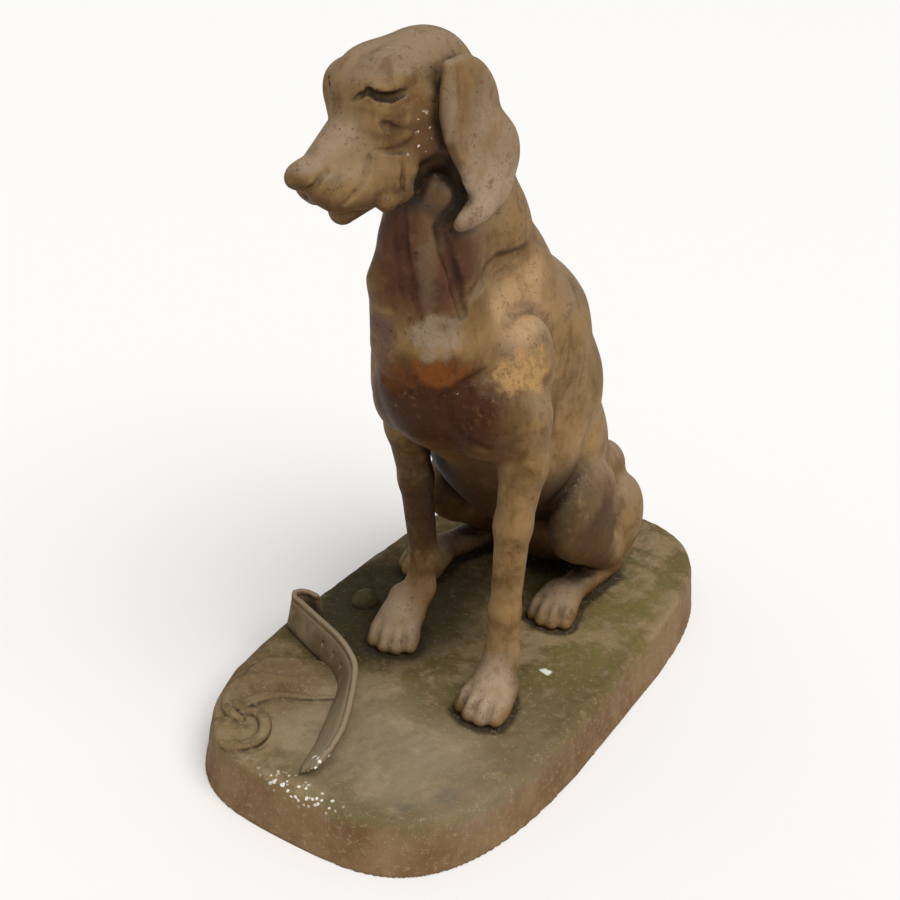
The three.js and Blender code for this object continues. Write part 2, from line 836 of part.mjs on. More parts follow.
function pebbleSolid() {
  const [long, wide, tall] = pebbleSize;
  const ball = new THREE.IcosahedronGeometry(0.5, 2).scale(long, wide, tall);
  return solidFrom(ball.rotateZ(-0.5).translate(-150, -58, plinthHeight + tall * 0.1));
}

// Where the strap is at a share t of its way: its foot, the way up its face, and the way out of its face.
const strapFoot = new THREE.CatmullRomCurve3(strapWay.map(({ x, y }) => new THREE.Vector3(x, y, 0)));

function strapAt(t) {
  const last = strapWay.length - 1;
  const k = Math.min(Math.floor(t * last), last - 1);
  const mixed = (key) => THREE.MathUtils.lerp(strapWay[k][key], strapWay[k + 1][key], t * last - k);
  const slope = THREE.MathUtils.degToRad(mixed("slope"));
  const tangent = strapFoot.getTangent(t);
  const side = new THREE.Vector3(-tangent.y, tangent.x, 0).normalize();
  const rise = side.multiplyScalar(Math.cos(slope)).add(new THREE.Vector3(0, 0, Math.sin(slope)));
  const out = new THREE.Vector3().crossVectors(rise, tangent).normalize();
  const foot = strapFoot.getPoint(t);
  foot.z = plinthHeight + castingGap + (strapThickness / 2) * Math.abs(out.z);
  return { foot, rise, out, width: strapWidth * mixed("share") };
}

// The strap is lofted from its lower edge to its upper edge.
function strapSolid(grow = 0) {
  const rings = [];
  for (let i = 0; i <= strapStations; i++) {
    const { foot, rise, out, width } = strapAt(i / strapStations);
    const half = strapThickness / 2 + grow;
    const corner = (along, thick) => foot.clone().addScaledVector(rise, along).addScaledVector(out, thick);
    rings.push([
      corner(-grow, -half),
      corner(-grow, half),
      corner(width - half / 2, half),
      corner(width, half / 2),
      corner(width, -half / 2),
      corner(width - half / 2, -half),
    ]);
  }
  return solidFrom(skin(rings));
}

function strapHole(t) {
  const { foot, rise, out, width } = strapAt(t);
  const middle = foot.clone().addScaledVector(rise, width * strapHoleRise);
  const turn = new THREE.Quaternion().setFromUnitVectors(new THREE.Vector3(0, 1, 0), out);
  const pin = new THREE.CylinderGeometry(strapHoleRadius, strapHoleRadius, strapThickness * 3, 10);
  return solidFrom(pin.applyQuaternion(turn).translate(...middle));
}

const group = new THREE.Group();

const curl = cordSolid([
  [-113, -258], [-142, -271], [-162, -283], [-173, -301], [-171, -324], [-159, -346], [-142, -358],
  [-123, -358],
], cordRadius);
const hook = cordSolid([
  [-131, -347], [-121, -338], [-104, -341], [-90, -355], [-82, -374], [-86, -390], [-98, -403],
  [-116, -406],
], cordRadius);
const relief = [bandSolid().subtract(strapSolid(1)), curl, hook, pebbleSolid()];
const plinth = relief.reduce((a, b) => a.add(b), plinthSolid());
group.add(meshOf("plinth", plinth));
const strap = strapHolePlaces.reduce((solid, t) => solid.subtract(strapHole(t)), strapSolid());
group.add(meshOf("collar_strap", strap));

const houndScale = houndHeight / carvedHeight;
const houndCell = 7;
const houndTriangles = 7000;
const rough = outerSkin(surfaceOf(hound, [-190, -420, -20], [170, 370, 850], houndCell));
const fine = simplify(rough, houndTriangles);
const body = solidOf(fine, houndScale, plinthHeight + castingGap);
const ground = solidFrom(
  new THREE.BoxGeometry(plinthLength * 2, plinthLength * 2, plinthLength).translate(
    0,
    0,
    plinthHeight + castingGap - plinthLength / 2,
  ),
);
group.add(meshOf("hound", body.subtract(ground)));

export default group;
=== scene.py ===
"""A life-size seated hound in weathered cast iron on its plinth, with a collar strap and a lead before it."""

import functools
import math

import bmesh
import bpy
import numpy as np
from mathutils import Matrix, Vector


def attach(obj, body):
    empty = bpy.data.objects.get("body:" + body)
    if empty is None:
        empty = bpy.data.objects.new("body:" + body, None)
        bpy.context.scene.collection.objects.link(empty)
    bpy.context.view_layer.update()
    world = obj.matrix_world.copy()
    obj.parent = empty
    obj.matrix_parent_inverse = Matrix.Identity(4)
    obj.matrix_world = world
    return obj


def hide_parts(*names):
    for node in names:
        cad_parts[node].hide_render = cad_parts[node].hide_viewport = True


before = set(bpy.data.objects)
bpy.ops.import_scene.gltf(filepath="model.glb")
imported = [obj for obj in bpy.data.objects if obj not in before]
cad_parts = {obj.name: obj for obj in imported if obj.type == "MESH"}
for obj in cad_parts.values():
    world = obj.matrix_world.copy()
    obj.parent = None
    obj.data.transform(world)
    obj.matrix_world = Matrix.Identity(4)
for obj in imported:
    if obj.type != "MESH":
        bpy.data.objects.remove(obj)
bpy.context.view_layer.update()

# Sizes in millimetres, in the frame of the part: +Z up, the hound faces -Y, its left side is +X
PLINTH_LENGTH = 860
PLINTH_WIDTH = 456
PLINTH_HEIGHT = 72
PLINTH_BATTER = 9
PLINTH_EASING = 13.0
PLINTH_SQUARENESS = 3.4
CASTING_GAP = 0.3
SOLE_SINK = 1.5  # how far the visible castings reach into the plinth's top, so that no slit shows

# The strap. Its way over the plinth's top gives x, y, the face's slope in degrees and the share of the width.
STRAP_WIDTH = 50
STRAP_THICKNESS = 7
STRAP_RIM = 6.5
STRAP_HOLE_RADIUS = 3
STRAP_HOLE_PLACES = (0.465, 0.53, 0.595)
STRAP_HOLE_RISE = 0.5
STRAP_PIN = 0.03  # length of the pins that cut the holes, in metres
STRAP_SEAM_DROP = 2.2  # from the rim down to the stitches' groove
STRAP_STATIONS = 150
SEAM_STATIONS = 200
STITCH_SIZES = {"Pitch": 0.0062, "Length": 0.0040, "Width": 0.0015}  # in metres
STRAP_WAY = (
    (-170, -128, 76, 1), (-190, -127, 76, 1), (-204, -136, 80, 1), (-208, -150, 84, 1), (-201, -165, 80, 1),
    (-185, -174, 76, 1), (-149, -190, 74, 1), (-122, -201, 74, 1), (-97, -213, 73, 1), (-75, -229, 70, 1),
    (-60, -246, 65, 1), (-47, -276, 57, 1), (-33, -312, 50, 1), (-20, -346, 46, 0.98),
    (-12, -376, 42, 0.85), (-6, -398, 36, 0.5),
)

# Meshes: the grid's box, its cell in millimetres, and the most triangles
HOUND_BOX = ([-190, -380, 50], [170, 340, 900])
HOUND_CELL = 3.0
HOUND_TRIANGLES = 190000
PLINTH_BOX = ([-240, -440, -10], [240, 440, 110])
PLINTH_CELL = 3.2
PLINTH_TRIANGLES = 185000

# Floor and light
FLOOR_HALF = 9000
FLOOR_COLOUR = (0.95, 0.95, 0.94, 1)
FLOOR_ROUGHNESS = 0.9
ROOM_COLOUR = (1.0, 0.98, 0.95, 1)
ROOM_STRENGTH = 0.42
SKY_STRENGTH = 2.3
SKY_SPREAD = 50
SKY_FROM = Vector((0.55, -0.3, 1.0))

# Camera, as the photograph was taken
CAMERA_LENS = 52.41
CAMERA_SENSOR = 36
CAMERA_AZIMUTH = 29.92
CAMERA_ELEVATION = 26.45
CAMERA_ROLL = 3.47
CAMERA_TARGET = Vector((0.0499, -0.1921, 0.430))
CAMERA_DISTANCE = 1.4928


# Distance forms


class Form:
    """A distance at points in millimetres, negative inside, and a ball that holds the form."""

    def __init__(self, value, middle, reach):
        self.value = value
        self.middle = np.asarray(middle, np.float32)
        self.reach = float(reach)

    def bound(self, p):
        """At most the form's own distance, and quicker to work out."""
        return np.linalg.norm(p - self.middle, axis=1) - self.reach


def axes_of(yaw=0, pitch=0, roll=0):
    """The axes, as rows, of a piece turned by yaw about Z, pitch about X and roll about Y, in degrees."""
    a, b, c = (math.radians(v) for v in (yaw, pitch, roll))
    about_z = np.array([[math.cos(a), -math.sin(a), 0], [math.sin(a), math.cos(a), 0], [0, 0, 1]])
    about_x = np.array([[1, 0, 0], [0, math.cos(b), -math.sin(b)], [0, math.sin(b), math.cos(b)]])
    about_y = np.array([[math.cos(c), 0, math.sin(c)], [0, 1, 0], [-math.sin(c), 0, math.cos(c)]])
    return (about_z @ about_x @ about_y).T.astype(np.float32)


def egg(centre, half, yaw=0, pitch=0, roll=0):
    """An ellipsoid with those half sizes."""
    centre, half = np.array(centre, np.float32), np.array(half, np.float32)
    axes = axes_of(yaw, pitch, roll)

    def value(p):
        q = ((p - centre) @ axes.T) / half
        reach = np.sqrt((q * q).sum(1))
        slope = np.sqrt(((q / half) ** 2).sum(1))
        return np.where(reach < 1e-5, -half.min(), reach * (reach - 1) / np.maximum(slope, 1e-9))

    return Form(value, centre, half.max())


def bar(a, b, ra, rb, side=None, wide=1.0):
    """A tapered bar with round ends. Its section is wide times wider along side."""
    a, b = np.array(a, np.float32), np.array(b, np.float32)
    d = b - a
    length2 = float(d @ d)
    s = np.zeros(3, np.float32)
    if side is not None:
        s = np.array(side, np.float32) / np.linalg.norm(side)
    squeeze = 1 - 1 / (wide * wide)

    def value(p):
        q = p - a
        t = np.clip(q @ d / length2, 0, 1)
        q = q - t[:, None] * d
        off = (q * q).sum(1) - (q @ s) ** 2 * squeeze
        return np.sqrt(np.maximum(off, 0)) - (ra + (rb - ra) * t)

    return Form(value, (a + b) / 2, math.sqrt(length2) / 2 + max(ra, rb) * wide)


def around(a, b, extra=0.0):
    """The ball that holds the balls of two forms."""
    gap = float(np.linalg.norm(b.middle - a.middle))
    if gap + b.reach <= a.reach:
        return a.middle, a.reach + extra
    if gap + a.reach <= b.reach:
        return b.middle, b.reach + extra
    reach = (gap + a.reach + b.reach) / 2
    return a.middle + (b.middle - a.middle) * ((reach - a.reach) / gap), reach + extra


def join(k, *forms):
    """Forms joined with fillets about k wide."""

    def pair(a, b):
        def value(p):
            d = a.value(p)
            close = b.bound(p) < d + k
            if close.any():
                e, f = d[close], b.value(p[close])
                h = np.maximum(k - np.abs(e - f), 0) / k
                d[close] = np.minimum(e, f) - h * h * k / 4
            return d

        return Form(value, *around(a, b, k / 4))

    form = forms[0]
    for other in forms[1:]:
        form = pair(form, other)
    return form


def carve(k, form, *cuts):
    """A form with others cut out of it, the cuts' edges eased by k."""

    def pair(a, b):
        def value(p):
            d = a.value(p)
            close = b.bound(p) < k - d
            if close.any():
                e, f = d[close], -b.value(p[close])
                h = np.maximum(k - np.abs(e - f), 0) / k
                d[close] = np.maximum(e, f) + h * h * k / 4
            return d

        return Form(value, a.middle, a.reach)

    for cut in cuts:
        form = pair(form, cut)
    return form


def limb(k, stations, side=None, wide=1.0):
    """A limb through several stations of [x, y, z, radius]."""
    return join(k, *[bar(a[:3], b[:3], a[3], b[3], side, wide) for a, b in zip(stations, stations[1:])])


def mirrored(form):
    """A form at +X, given at both sides of x = 0, its seam there eased."""

    def value(p):
        q = p.copy()
        q[:, 0] = np.sqrt(q[:, 0] ** 2 + 1)
        return form.value(q)

    middle = form.middle * np.array([0, 1, 1], np.float32)
    return Form(value, middle, form.reach + abs(form.middle[0]))


def placed(seat, yaw, pitch, roll, form):
    """A form turned and moved to a seat."""
    seat = np.array(seat, np.float32)
    axes = axes_of(yaw, pitch, roll)
    return Form(lambda p: form.value((p - seat) @ axes.T), form.middle @ axes + seat, form.reach)


# The hound, with the plinth's top at z = 0

HEAD_SEAT = (-8, -165, 756)
HEAD_YAW = -18
HEAD_PITCH = 24
LEFT_EAR_SEAT = (-8, -165, 0)
RIGHT_EAR_SEAT = (6, -166, -14)
TOE_PLACES = (-1.5, -0.5, 0.5, 1.5)


def head():
    """The head about its own seat, facing -Y. All but the cheekbone is the same on both sides."""
    skull = join(
        18,
        egg([0, -26, 12], [53, 68, 57]),
        egg([15, -68, 32], [33, 44, 42]),
        egg([0, -90, 38], [26, 28, 22], 0, 14),
        egg([0, 12, -6], [31, 28, 30]),
    )
    muzzle = join(
        12,
        bar([0, -112, 3], [0, -168, -7], 31, 20, [1, 0, 0], 1.1),
        egg([10, -171, -20], [17, 20, 18]),
        egg([20, -148, -30], [16, 34, 21], -8, 14),
        egg([25, -130, -40], [14, 24, 22], -10, 10),
    )
    jaw = join(
        12,
        bar([0, -10, -52], [0, -157, -60], 30, 14.5),
        bar([0, -40, -20], [0, -150, -24], 24, 20),
        egg([0, -50, -56], [30, 40, 30]),
    )
    cheek = join(
        10,
        egg([38, -42, -14], [20, 50, 40], -8),
        bar([40, -74, 10], [52, -10, 14], 12, 13),
        egg([36, -94, 17], [12, 22, 13], -24, 2),
        egg([32, -102, -8], [12, 22, 18], -10),
    )
    jowl = egg([36, -104, -40], [15, 27, 31], -10)
    nose = egg([0, -187, 1], [17, 17, 13], 0, 10)
    brow = egg([32, -80, 51], [8, 25, 8], -32, -6)
    face = join(9, join(12, skull, muzzle, jaw, cheek), jowl, nose, brow)
    lobe = egg([36, -124, -57], [11, 13, 12])
    upper_lid = bar([35, -94, 52], [43, -79, 48], 4.5, 4.5)
    lower_lid = limb(2, [[32, -101, 47, 2.5], [38, -96, 40, 3.5], [45, -86, 35, 3.5], [49, -73, 34, 2.5]])
    pouch = limb(3, [[31, -103, 35, 4], [40, -95, 30, 6], [47, -81, 26, 5]])
    cheek_roll = egg([41, -89, -2], [8, 13, 6], -20)
    lip = [
        [35, -127, -6, 2], [37, -136, -17, 3], [39, -145, -25, 3], [36, -156, -30, 2.5],
        [32, -168, -36, 2],
    ]
    wing = [
        [14, -169, 14, 1.2], [21, -170, 7, 2], [23, -170, 1, 3.5], [22, -177, 0, 3],
        [20, -186, -7, 2.5],
    ]
    lines = [
        # the eye's slit, its inner corner and the fold below it
        limb(2, [[31, -100, 53, 3], [37, -96, 46, 4.2], [44, -87, 41, 4.2], [50, -71, 40, 3]]),
        limb(2, [[31, -100, 52, 2], [25, -107, 50, 2], [17, -114, 46, 1.2]]),
        limb(3, [[42, -108, 25, 2.5], [46, -102, 17, 5], [50, -93, 9, 4]]),
        # the cheek's fold, the lip's furrow and the folds of the flews
        limb(3, [[40, -120, -1, 2], [46, -105, -8, 3.5], [49, -87, -17, 3.5]]),
        limb(3, lip),
        limb(3, [[50, -97, -18, 2], [50, -107, -40, 2.5], [48, -113, -58, 2.5]]),
        limb(3, [[47, -122, -22, 1.2], [45, -128, -46, 1.8]]),
        # the nose's wing, the nostril and the split below the nose
        limb(2, wing),
        limb(2, [[20, -186, -7, 2.5], [11, -197, -9, 1.8]]),
        bar([0, -206, -6], [0, -188, -24], 2, 2),
    ]
    whole = mirrored(join(4, face, lobe, upper_lid, lower_lid, pouch, cheek_roll))
    right_cheekbone = egg([-40, -84, 31], [16, 27, 30], 14, 6)
    return carve(3, join(10, whole, right_cheekbone), mirrored(join(1, *lines)))


def ear(side):
    """A long folded ear. Side is 1 for the left one and -1 for the right one."""
    leaf = join(
        14,
        egg([side * 68, -13, 748], [12, 37, 52], 0, 25),
        egg([side * 73, 15, 692], [13, 40, 46]),
        egg([side * 70, -20, 722], [7, 24, 34], 0, 14),
        egg([side * 73, 8, 643], [9, 37, 14], 0, 25),
        bar([side * 72, 2, 638], [side * 71, -19, 625], 9, 4),
    )
    front = limb(
        2,
        [
            [side * 63, -18, 792, 6], [side * 68, -44, 787, 7], [side * 75, -41, 718, 7],
            [side * 74, -20, 686, 6],
        ],
    )
    groove = limb(2, [[side * 80, -34, 786, 3], [side * 83, -30, 745, 4], [side * 83, -29, 704, 3.5]])
    return carve(4, join(4, leaf, front), groove)


def ears():
    left, right = (
        placed(seat, HEAD_YAW, 0, 0, ear(side)) for seat, side in ((LEFT_EAR_SEAT, 1), (RIGHT_EAR_SEAT, -1))
    )
    return join(4, left, right)


def hollow():
    """The hollow below the ear, behind the jaw."""
    return mirrored(limb(8, [[44, -84, -56, 9], [50, -58, -54, 13], [52, -40, -80, 12], [50, -44, -112, 7]]))


def neck():
    """The throat, with a loose fold of skin at its right and a ridge at its left."""
    throat = limb(20, [[0, -150, 480, 64], [-2, -165, 590, 50], [-6, -186, 660, 40]])
    dewlap = limb(
        10,
        [
            [-32, -184, 470, 31], [-29, -197, 545, 30], [-28, -196, 567, 24], [-22, -198, 592, 24],
            [-20, -198, 640, 18],
        ],
    )
    ridge = limb(
        8,
        [
            [8, -200, 672, 11], [12, -206, 640, 12], [14, -208, 600, 13], [27, -204, 563, 13],
            [36, -189, 520, 12],
        ],
    )
    return join(14, throat, dewlap, ridge)


def torso():
    trunk = limb(
        24,
        [
            [-8, -156, 716, 46], [-4, -118, 660, 54], [0, -82, 592, 58], [0, -34, 520, 67],
            [0, 36, 432, 91], [0, 82, 340, 97], [0, 150, 230, 86], [0, 214, 110, 84],
        ],
    )
    return join(
        36,
        trunk,
        egg([0, 8, 374], [88, 152, 118], 0, -52),
        egg([0, 88, 222], [84, 104, 94], 0, -30),
        egg([0, -118, 430], [79, 98, 105], 0, -20),
        egg([0, -62, 350], [44, 80, 68], 0, -20),
        egg([0, 23, 270], [101, 78, 83]),
        egg([0, 230, 84], [88, 80, 84]),
    )


def paw(spread, length, width, pad, tilt):
    """Four toes, fanned out before a pad, which is given by where the toes start and its form."""
    toes = []
    for i in TOE_PLACES:
        toe = join(
            5,
            egg([spread * i, pad[0] + abs(i) * 9, 15], [width, length, 19], i * 4, tilt),
            egg([spread * i * 1.04, pad[0] - length * 0.72 + abs(i) * 9, 9], [width * 0.8, 8, 9]),
        )
        toes.append(toe)
    return join(7, pad[1], *toes)


def foreleg(shoulder, stations, place, turn):
    pad = join(10, egg([0, 4, 24], [30, 34, 27]), bar([0, 18, 50], [0, -6, 30], 20, 22))
    foot = placed(place, turn, 0, 0, paw(15.5, 25, 11, (-30, pad), 14))
    return join(18, shoulder, join(10, limb(12, stations), foot))


def forelegs():
    left = foreleg(
        join(
            16,
            egg([78, -90, 420], [36, 58, 76], 0, -6),
            egg([62, -124, 388], [48, 58, 62]),
            bar([76, -108, 390], [92, -70, 332], 38, 24),
        ),
        [
            [94, -110, 380, 38], [101, -104, 318, 28], [99, -114, 240, 22], [100, -118, 120, 18.5],
            [104, -124, 62, 20], [104, -140, 34, 22],
        ],
        [110, -153, 0],
        0,
    )
    right = foreleg(
        join(
            16,
            egg([-78, -90, 420], [36, 58, 76], 0, -6),
            egg([-48, -124, 388], [42, 56, 58]),
            bar([-68, -104, 390], [-80, -62, 324], 35, 22),
        ),
        [
            [-78, -98, 370, 34], [-79, -82, 310, 26], [-71, -66, 230, 21.5], [-61, -52, 110, 18.5],
            [-61, -58, 62, 19], [-64, -76, 34, 21],
        ],
        [-70, -94, 0],
        18,
    )
    return join(6, left, right)


def hindleg(side, place, turn):
    thigh = join(
        14,
        join(
            22,
            egg([side * 96, 100, 165], [34, 78, 70], 0, 6),
            bar([side * 99, 110, 120], [side * 90, 212, 34], 38, 24),
        ),
        egg([side * 90, 234, 90], [38, 55, 69], 0, -6),
        egg([side * 56, 236, 164], [36, 42, 40]),
    )
    foot = bar([side * 90, 215, 22], [place[0], place[1] + 20, 22], 22, 21)
    front = placed(place, turn, 0, 0, paw(15, 22, 10.5, (-26, egg([0, 6, 23], [29, 32, 26])), 14))
    return join(12, thigh, foot, front)


def tail():
    """The tail, laid on the plinth around the right haunch."""
    return limb(
        6,
        [
            [2, 296, 66, 20], [0, 314, 40, 18], [-20, 322, 19, 16], [-54, 316, 13, 14.5],
            [-86, 298, 12, 13], [-112, 270, 11, 12], [-127, 238, 10.5, 10.5], [-132, 206, 9, 8],
        ],
    )


def creases():
    """Folds of skin and the lines between muscles, cut into the figure."""
    return [
        limb(6, [[-11, -225, 645, 5], [-8, -224, 595, 7], [-1, -220, 551, 7], [12, -214, 508, 4]]),
        limb(6, [[31, -209, 620, 4], [38, -205, 595, 6], [45, -191, 553, 7], [52, -184, 520, 5]]),
        limb(6, [[-25, -230, 600, 3], [-18, -228, 560, 4.5], [-17, -225, 522, 3]]),
        limb(6, [[57, -178, 536, 4], [53, -140, 552, 6], [54, -110, 563, 6], [67, -70, 569, 4]]),
        limb(4, [[-35, -212, 431, 3], [-10, -217, 427, 5], [17, -217, 422, 4.5]]),
        limb(4, [[72, -164, 448, 3.5], [57, -190, 437, 5.5], [45, -202, 419, 6]]),
        limb(4, [[45, -202, 419, 6], [46, -196, 394, 6], [57, -183, 371, 5.5], [84, -171, 357, 4]]),
    ]


def hound():
    """The whole hound, standing on z = 0."""
    figure = join(
        14,
        join(22, torso(), neck()),
        forelegs(),
        hindleg(1, [82, 80, 0], 4),
        hindleg(-1, [-128, 76, 0], -12),
    )
    figure = join(9, figure, tail())
    top, cut = (placed(HEAD_SEAT, HEAD_YAW, HEAD_PITCH, 0, form) for form in (head(), hollow()))
    headed = carve(9, join(14, figure, top), cut)
    throat_ball = egg([20, -206, 653], [22, 22, 23])
    return join(5, join(5, carve(8, headed, *creases()), throat_ball), ears())


# The plinth, its top worn and uneven, with the lead cast on it


def ripple(p, sizes, seed, flat=False):
    """A gentle unevenness from a few waves, about 1 high."""
    turn = np.random.default_rng(seed)
    total = np.zeros(len(p), np.float32)
    for size in sizes:
        for _ in range(3):
            way = turn.normal(size=3)
            if flat:
                way[2] = 0
            way *= 2 * math.pi / size / np.linalg.norm(way)
            total += np.sin(p @ way.astype(np.float32) + turn.uniform(0, 2 * math.pi))
    return total / (len(sizes) * 3) ** 0.5


def slab_form():
    """The bare slab: oval-ended, battered, its top edge eased and its faces worn."""
    n = PLINTH_SQUARENESS

    def value(p):
        lean = PLINTH_BATTER * np.clip(p[:, 2] / PLINTH_HEIGHT, 0, 1.2)
        hx, hy = PLINTH_WIDTH / 2 - lean, PLINTH_LENGTH / 2 - lean
        u, v = np.abs(p[:, 0]) / hx + 1e-6, np.abs(p[:, 1]) / hy + 1e-6
        s = (u**n + v**n) ** (1 / n)
        u_slope, v_slope = s ** (1 - n) * u ** (n - 1) / hx, s ** (1 - n) * v ** (n - 1) / hy
        slope = np.sqrt(u_slope**2 + v_slope**2)
        wear = np.clip(ripple(p, (150, 60, 28), 5) + 1, 0, 3) * 0.6
        side = (s - 1) / np.maximum(slope, 1e-6) + wear * np.clip(p[:, 2] / 12, 0, 1)
        top = p[:, 2] - PLINTH_HEIGHT - ripple(p, (170, 90), 11, True) * 0.9
        top = top - ripple(p, (34, 19), 12, True) * 0.35
        k = PLINTH_EASING
        h = np.maximum(k - np.abs(side - top), 0) / k
        return np.maximum(np.maximum(side, top) + h * h * k / 4, -p[:, 2])

    return Form(value, [0, 0, PLINTH_HEIGHT / 2], math.hypot(PLINTH_WIDTH, PLINTH_LENGTH) / 2 + 10)


def plate(outline, low, high, edge):
    """A flat plate with that outline, its top edge eased."""
    outline = np.array(outline, np.float32)
    middle = outline.mean(0)

    def value(p):
        q = p[:, :2]
        nearest = np.full(len(p), 1e9, np.float32)
        inside = np.zeros(len(p), bool)
        for a, b in zip(outline, np.roll(outline, -1, 0)):
            d = b - a
            t = np.clip((q - a) @ d / (d @ d), 0, 1)
            nearest = np.minimum(nearest, ((q - a - t[:, None] * d) ** 2).sum(1))
            crosses = (a[1] > q[:, 1]) != (b[1] > q[:, 1])
            inside ^= crosses & (q[:, 0] < (b[0] - a[0]) * (q[:, 1] - a[1]) / (b[1] - a[1] + 1e-9) + a[0])
        flat = np.where(inside, -1, 1) * np.sqrt(nearest)
        top = p[:, 2] - high
        h = np.maximum(edge - np.abs(flat - top), 0) / edge
        return np.maximum(np.maximum(flat, top) + h * h * edge / 4, low - p[:, 2])

    reach = np.linalg.norm(outline - middle, axis=1).max() + high - low
    return Form(value, [*middle, (low + high) / 2], reach)


def cord(stations, radius):
    """A round cord lying on the plinth's top, its corners cut twice over."""
    way = np.array(stations, np.float32)
    for _ in range(2):
        cut = (way[:-1] * 0.75 + way[1:] * 0.25, way[:-1] * 0.25 + way[1:] * 0.75)
        way = np.concatenate((way[:1], np.stack(cut, 1).reshape(-1, 3), way[-1:]))
    rise = PLINTH_HEIGHT + radius * 0.4
    return limb(2, [[x, y, rise, radius * share] for x, y, share in way])


LEAD_RADIUS = 7
LEAD_RISE = 7
LEAD_EDGE = 5
LEAD_ROOT = 8  # how far the lead's plate reaches down into the slab
LEAD_OUTLINE = (
    (-92, -206), (-127, -208), (-155, -226), (-180, -243), (-182, -272), (-176, -305), (-164, -330),
    (-148, -346), (-134, -350), (-130, -332), (-124, -315), (-112, -298), (-91, -287), (-70, -273),
    (-50, -256), (-62, -232),
)  # fmt: skip


def plinth_form():
    """The slab with what is cast on it: the lead's plate, curl and hook, a pebble and a chip."""
    lead = plate(LEAD_OUTLINE, PLINTH_HEIGHT - LEAD_ROOT, PLINTH_HEIGHT + LEAD_RISE, LEAD_EDGE)
    hollow_way = [
        [-50, -246, 82, 7], [-84, -268, 82, 7], [-122, -282, 82, 8], [-146, -300, 82, 9],
        [-150, -322, 83, 7],
    ]
    lead = carve(5, lead, limb(6, hollow_way))
    curl = cord(
        [
            (-113, -258, 0.5), (-142, -271, 0.9), (-162, -283, 1), (-173, -301, 1), (-171, -324, 1),
            (-159, -346, 1), (-142, -358, 0.9), (-124, -359, 0.5),
        ],
        LEAD_RADIUS,
    )  # fmt: skip
    hook = cord(
        [
            (-131, -347, 0.5), (-121, -338, 0.9), (-104, -341, 1), (-90, -355, 1), (-82, -374, 1),
            (-86, -390, 1), (-98, -403, 0.9), (-116, -407, 0.5),
        ],
        LEAD_RADIUS,
    )  # fmt: skip
    pebble = egg([-150, -58, PLINTH_HEIGHT + 4], [17, 20, 20], -29)
    chip = egg([119, -63, PLINTH_HEIGHT], [17, 9, 5], -32)
    return join(4, slab_form(), lead, curl, hook, pebble, chip)


# The strap


def strap_at(t):
    """The strap at a share t of its way: its foot, the way up its face, the way out of it and its width."""
    last = len(STRAP_WAY) - 1
    k = min(int(t * last), last - 1)
    s = t * last - k
    rows = [STRAP_WAY[min(max(i, 0), last)] for i in (k - 1, k, k + 1, k + 2)]
    p0, p1, p2, p3 = (np.array(row[:2], float) for row in rows)
    if k == 0:
        p0 = 2 * p1 - p2
    if k == last - 1:
        p3 = 2 * p2 - p1
    spans = [max(np.linalg.norm(b - a) ** 0.5, 1e-3) for a, b in ((p0, p1), (p1, p2), (p2, p3))]
    a, b, c = spans
    t1 = ((p1 - p0) / a - (p2 - p0) / (a + b) + (p2 - p1) / b) * b
    t2 = ((p2 - p1) / b - (p3 - p1) / (b + c) + (p3 - p2) / c) * b
    foot = (2 * s**3 - 3 * s**2 + 1) * p1 + (s**3 - 2 * s**2 + s) * t1
    foot = foot + (3 * s**2 - 2 * s**3) * p2 + (s**3 - s**2) * t2
    tangent = (6 * s * s - 6 * s) * (p1 - p2) + (3 * s * s - 4 * s + 1) * t1 + (3 * s * s - 2 * s) * t2
    tangent = Vector((*tangent, 0)).normalized()
    slope = math.radians(rows[1][2] * (1 - s) + rows[2][2] * s)
    rise = Vector((-tangent.y, tangent.x, 0)) * math.cos(slope) + Vector((0, 0, math.sin(slope)))
    out = rise.cross(tangent).normalized()
    width = STRAP_WIDTH * (rows[1][3] * (1 - s) + rows[2][3] * s)
    lift = PLINTH_HEIGHT + CASTING_GAP + STRAP_THICKNESS / 2 * abs(out.z)
    return Vector((*foot, lift)), rise, out, width


def strap_section(width):
    """The strap's outline: how far up its face and how far out of it. Its upper edge has a thicker rim."""
    half = STRAP_THICKNESS / 2
    rim = min(STRAP_RIM, width * 0.3)
    groove = width - rim - STRAP_SEAM_DROP
    face = [
        (0.0, 0.55), (0.8, 0.9), (2.5, 0.97), (width * 0.3, 0.9), (width * 0.6, 0.9), (groove - 2, 0.93),
        (groove - 1, 0.78), (groove, 0.62), (groove + 1, 0.78), (width - rim, 1.04),
        (width - rim * 0.5, 1.12), (width - 1.6, 0.98), (width - 0.4, 0.62),
    ]  # fmt: skip
    return [(up, out * half) for up, out in face] + [(up, -out * half) for up, out in reversed(face)]


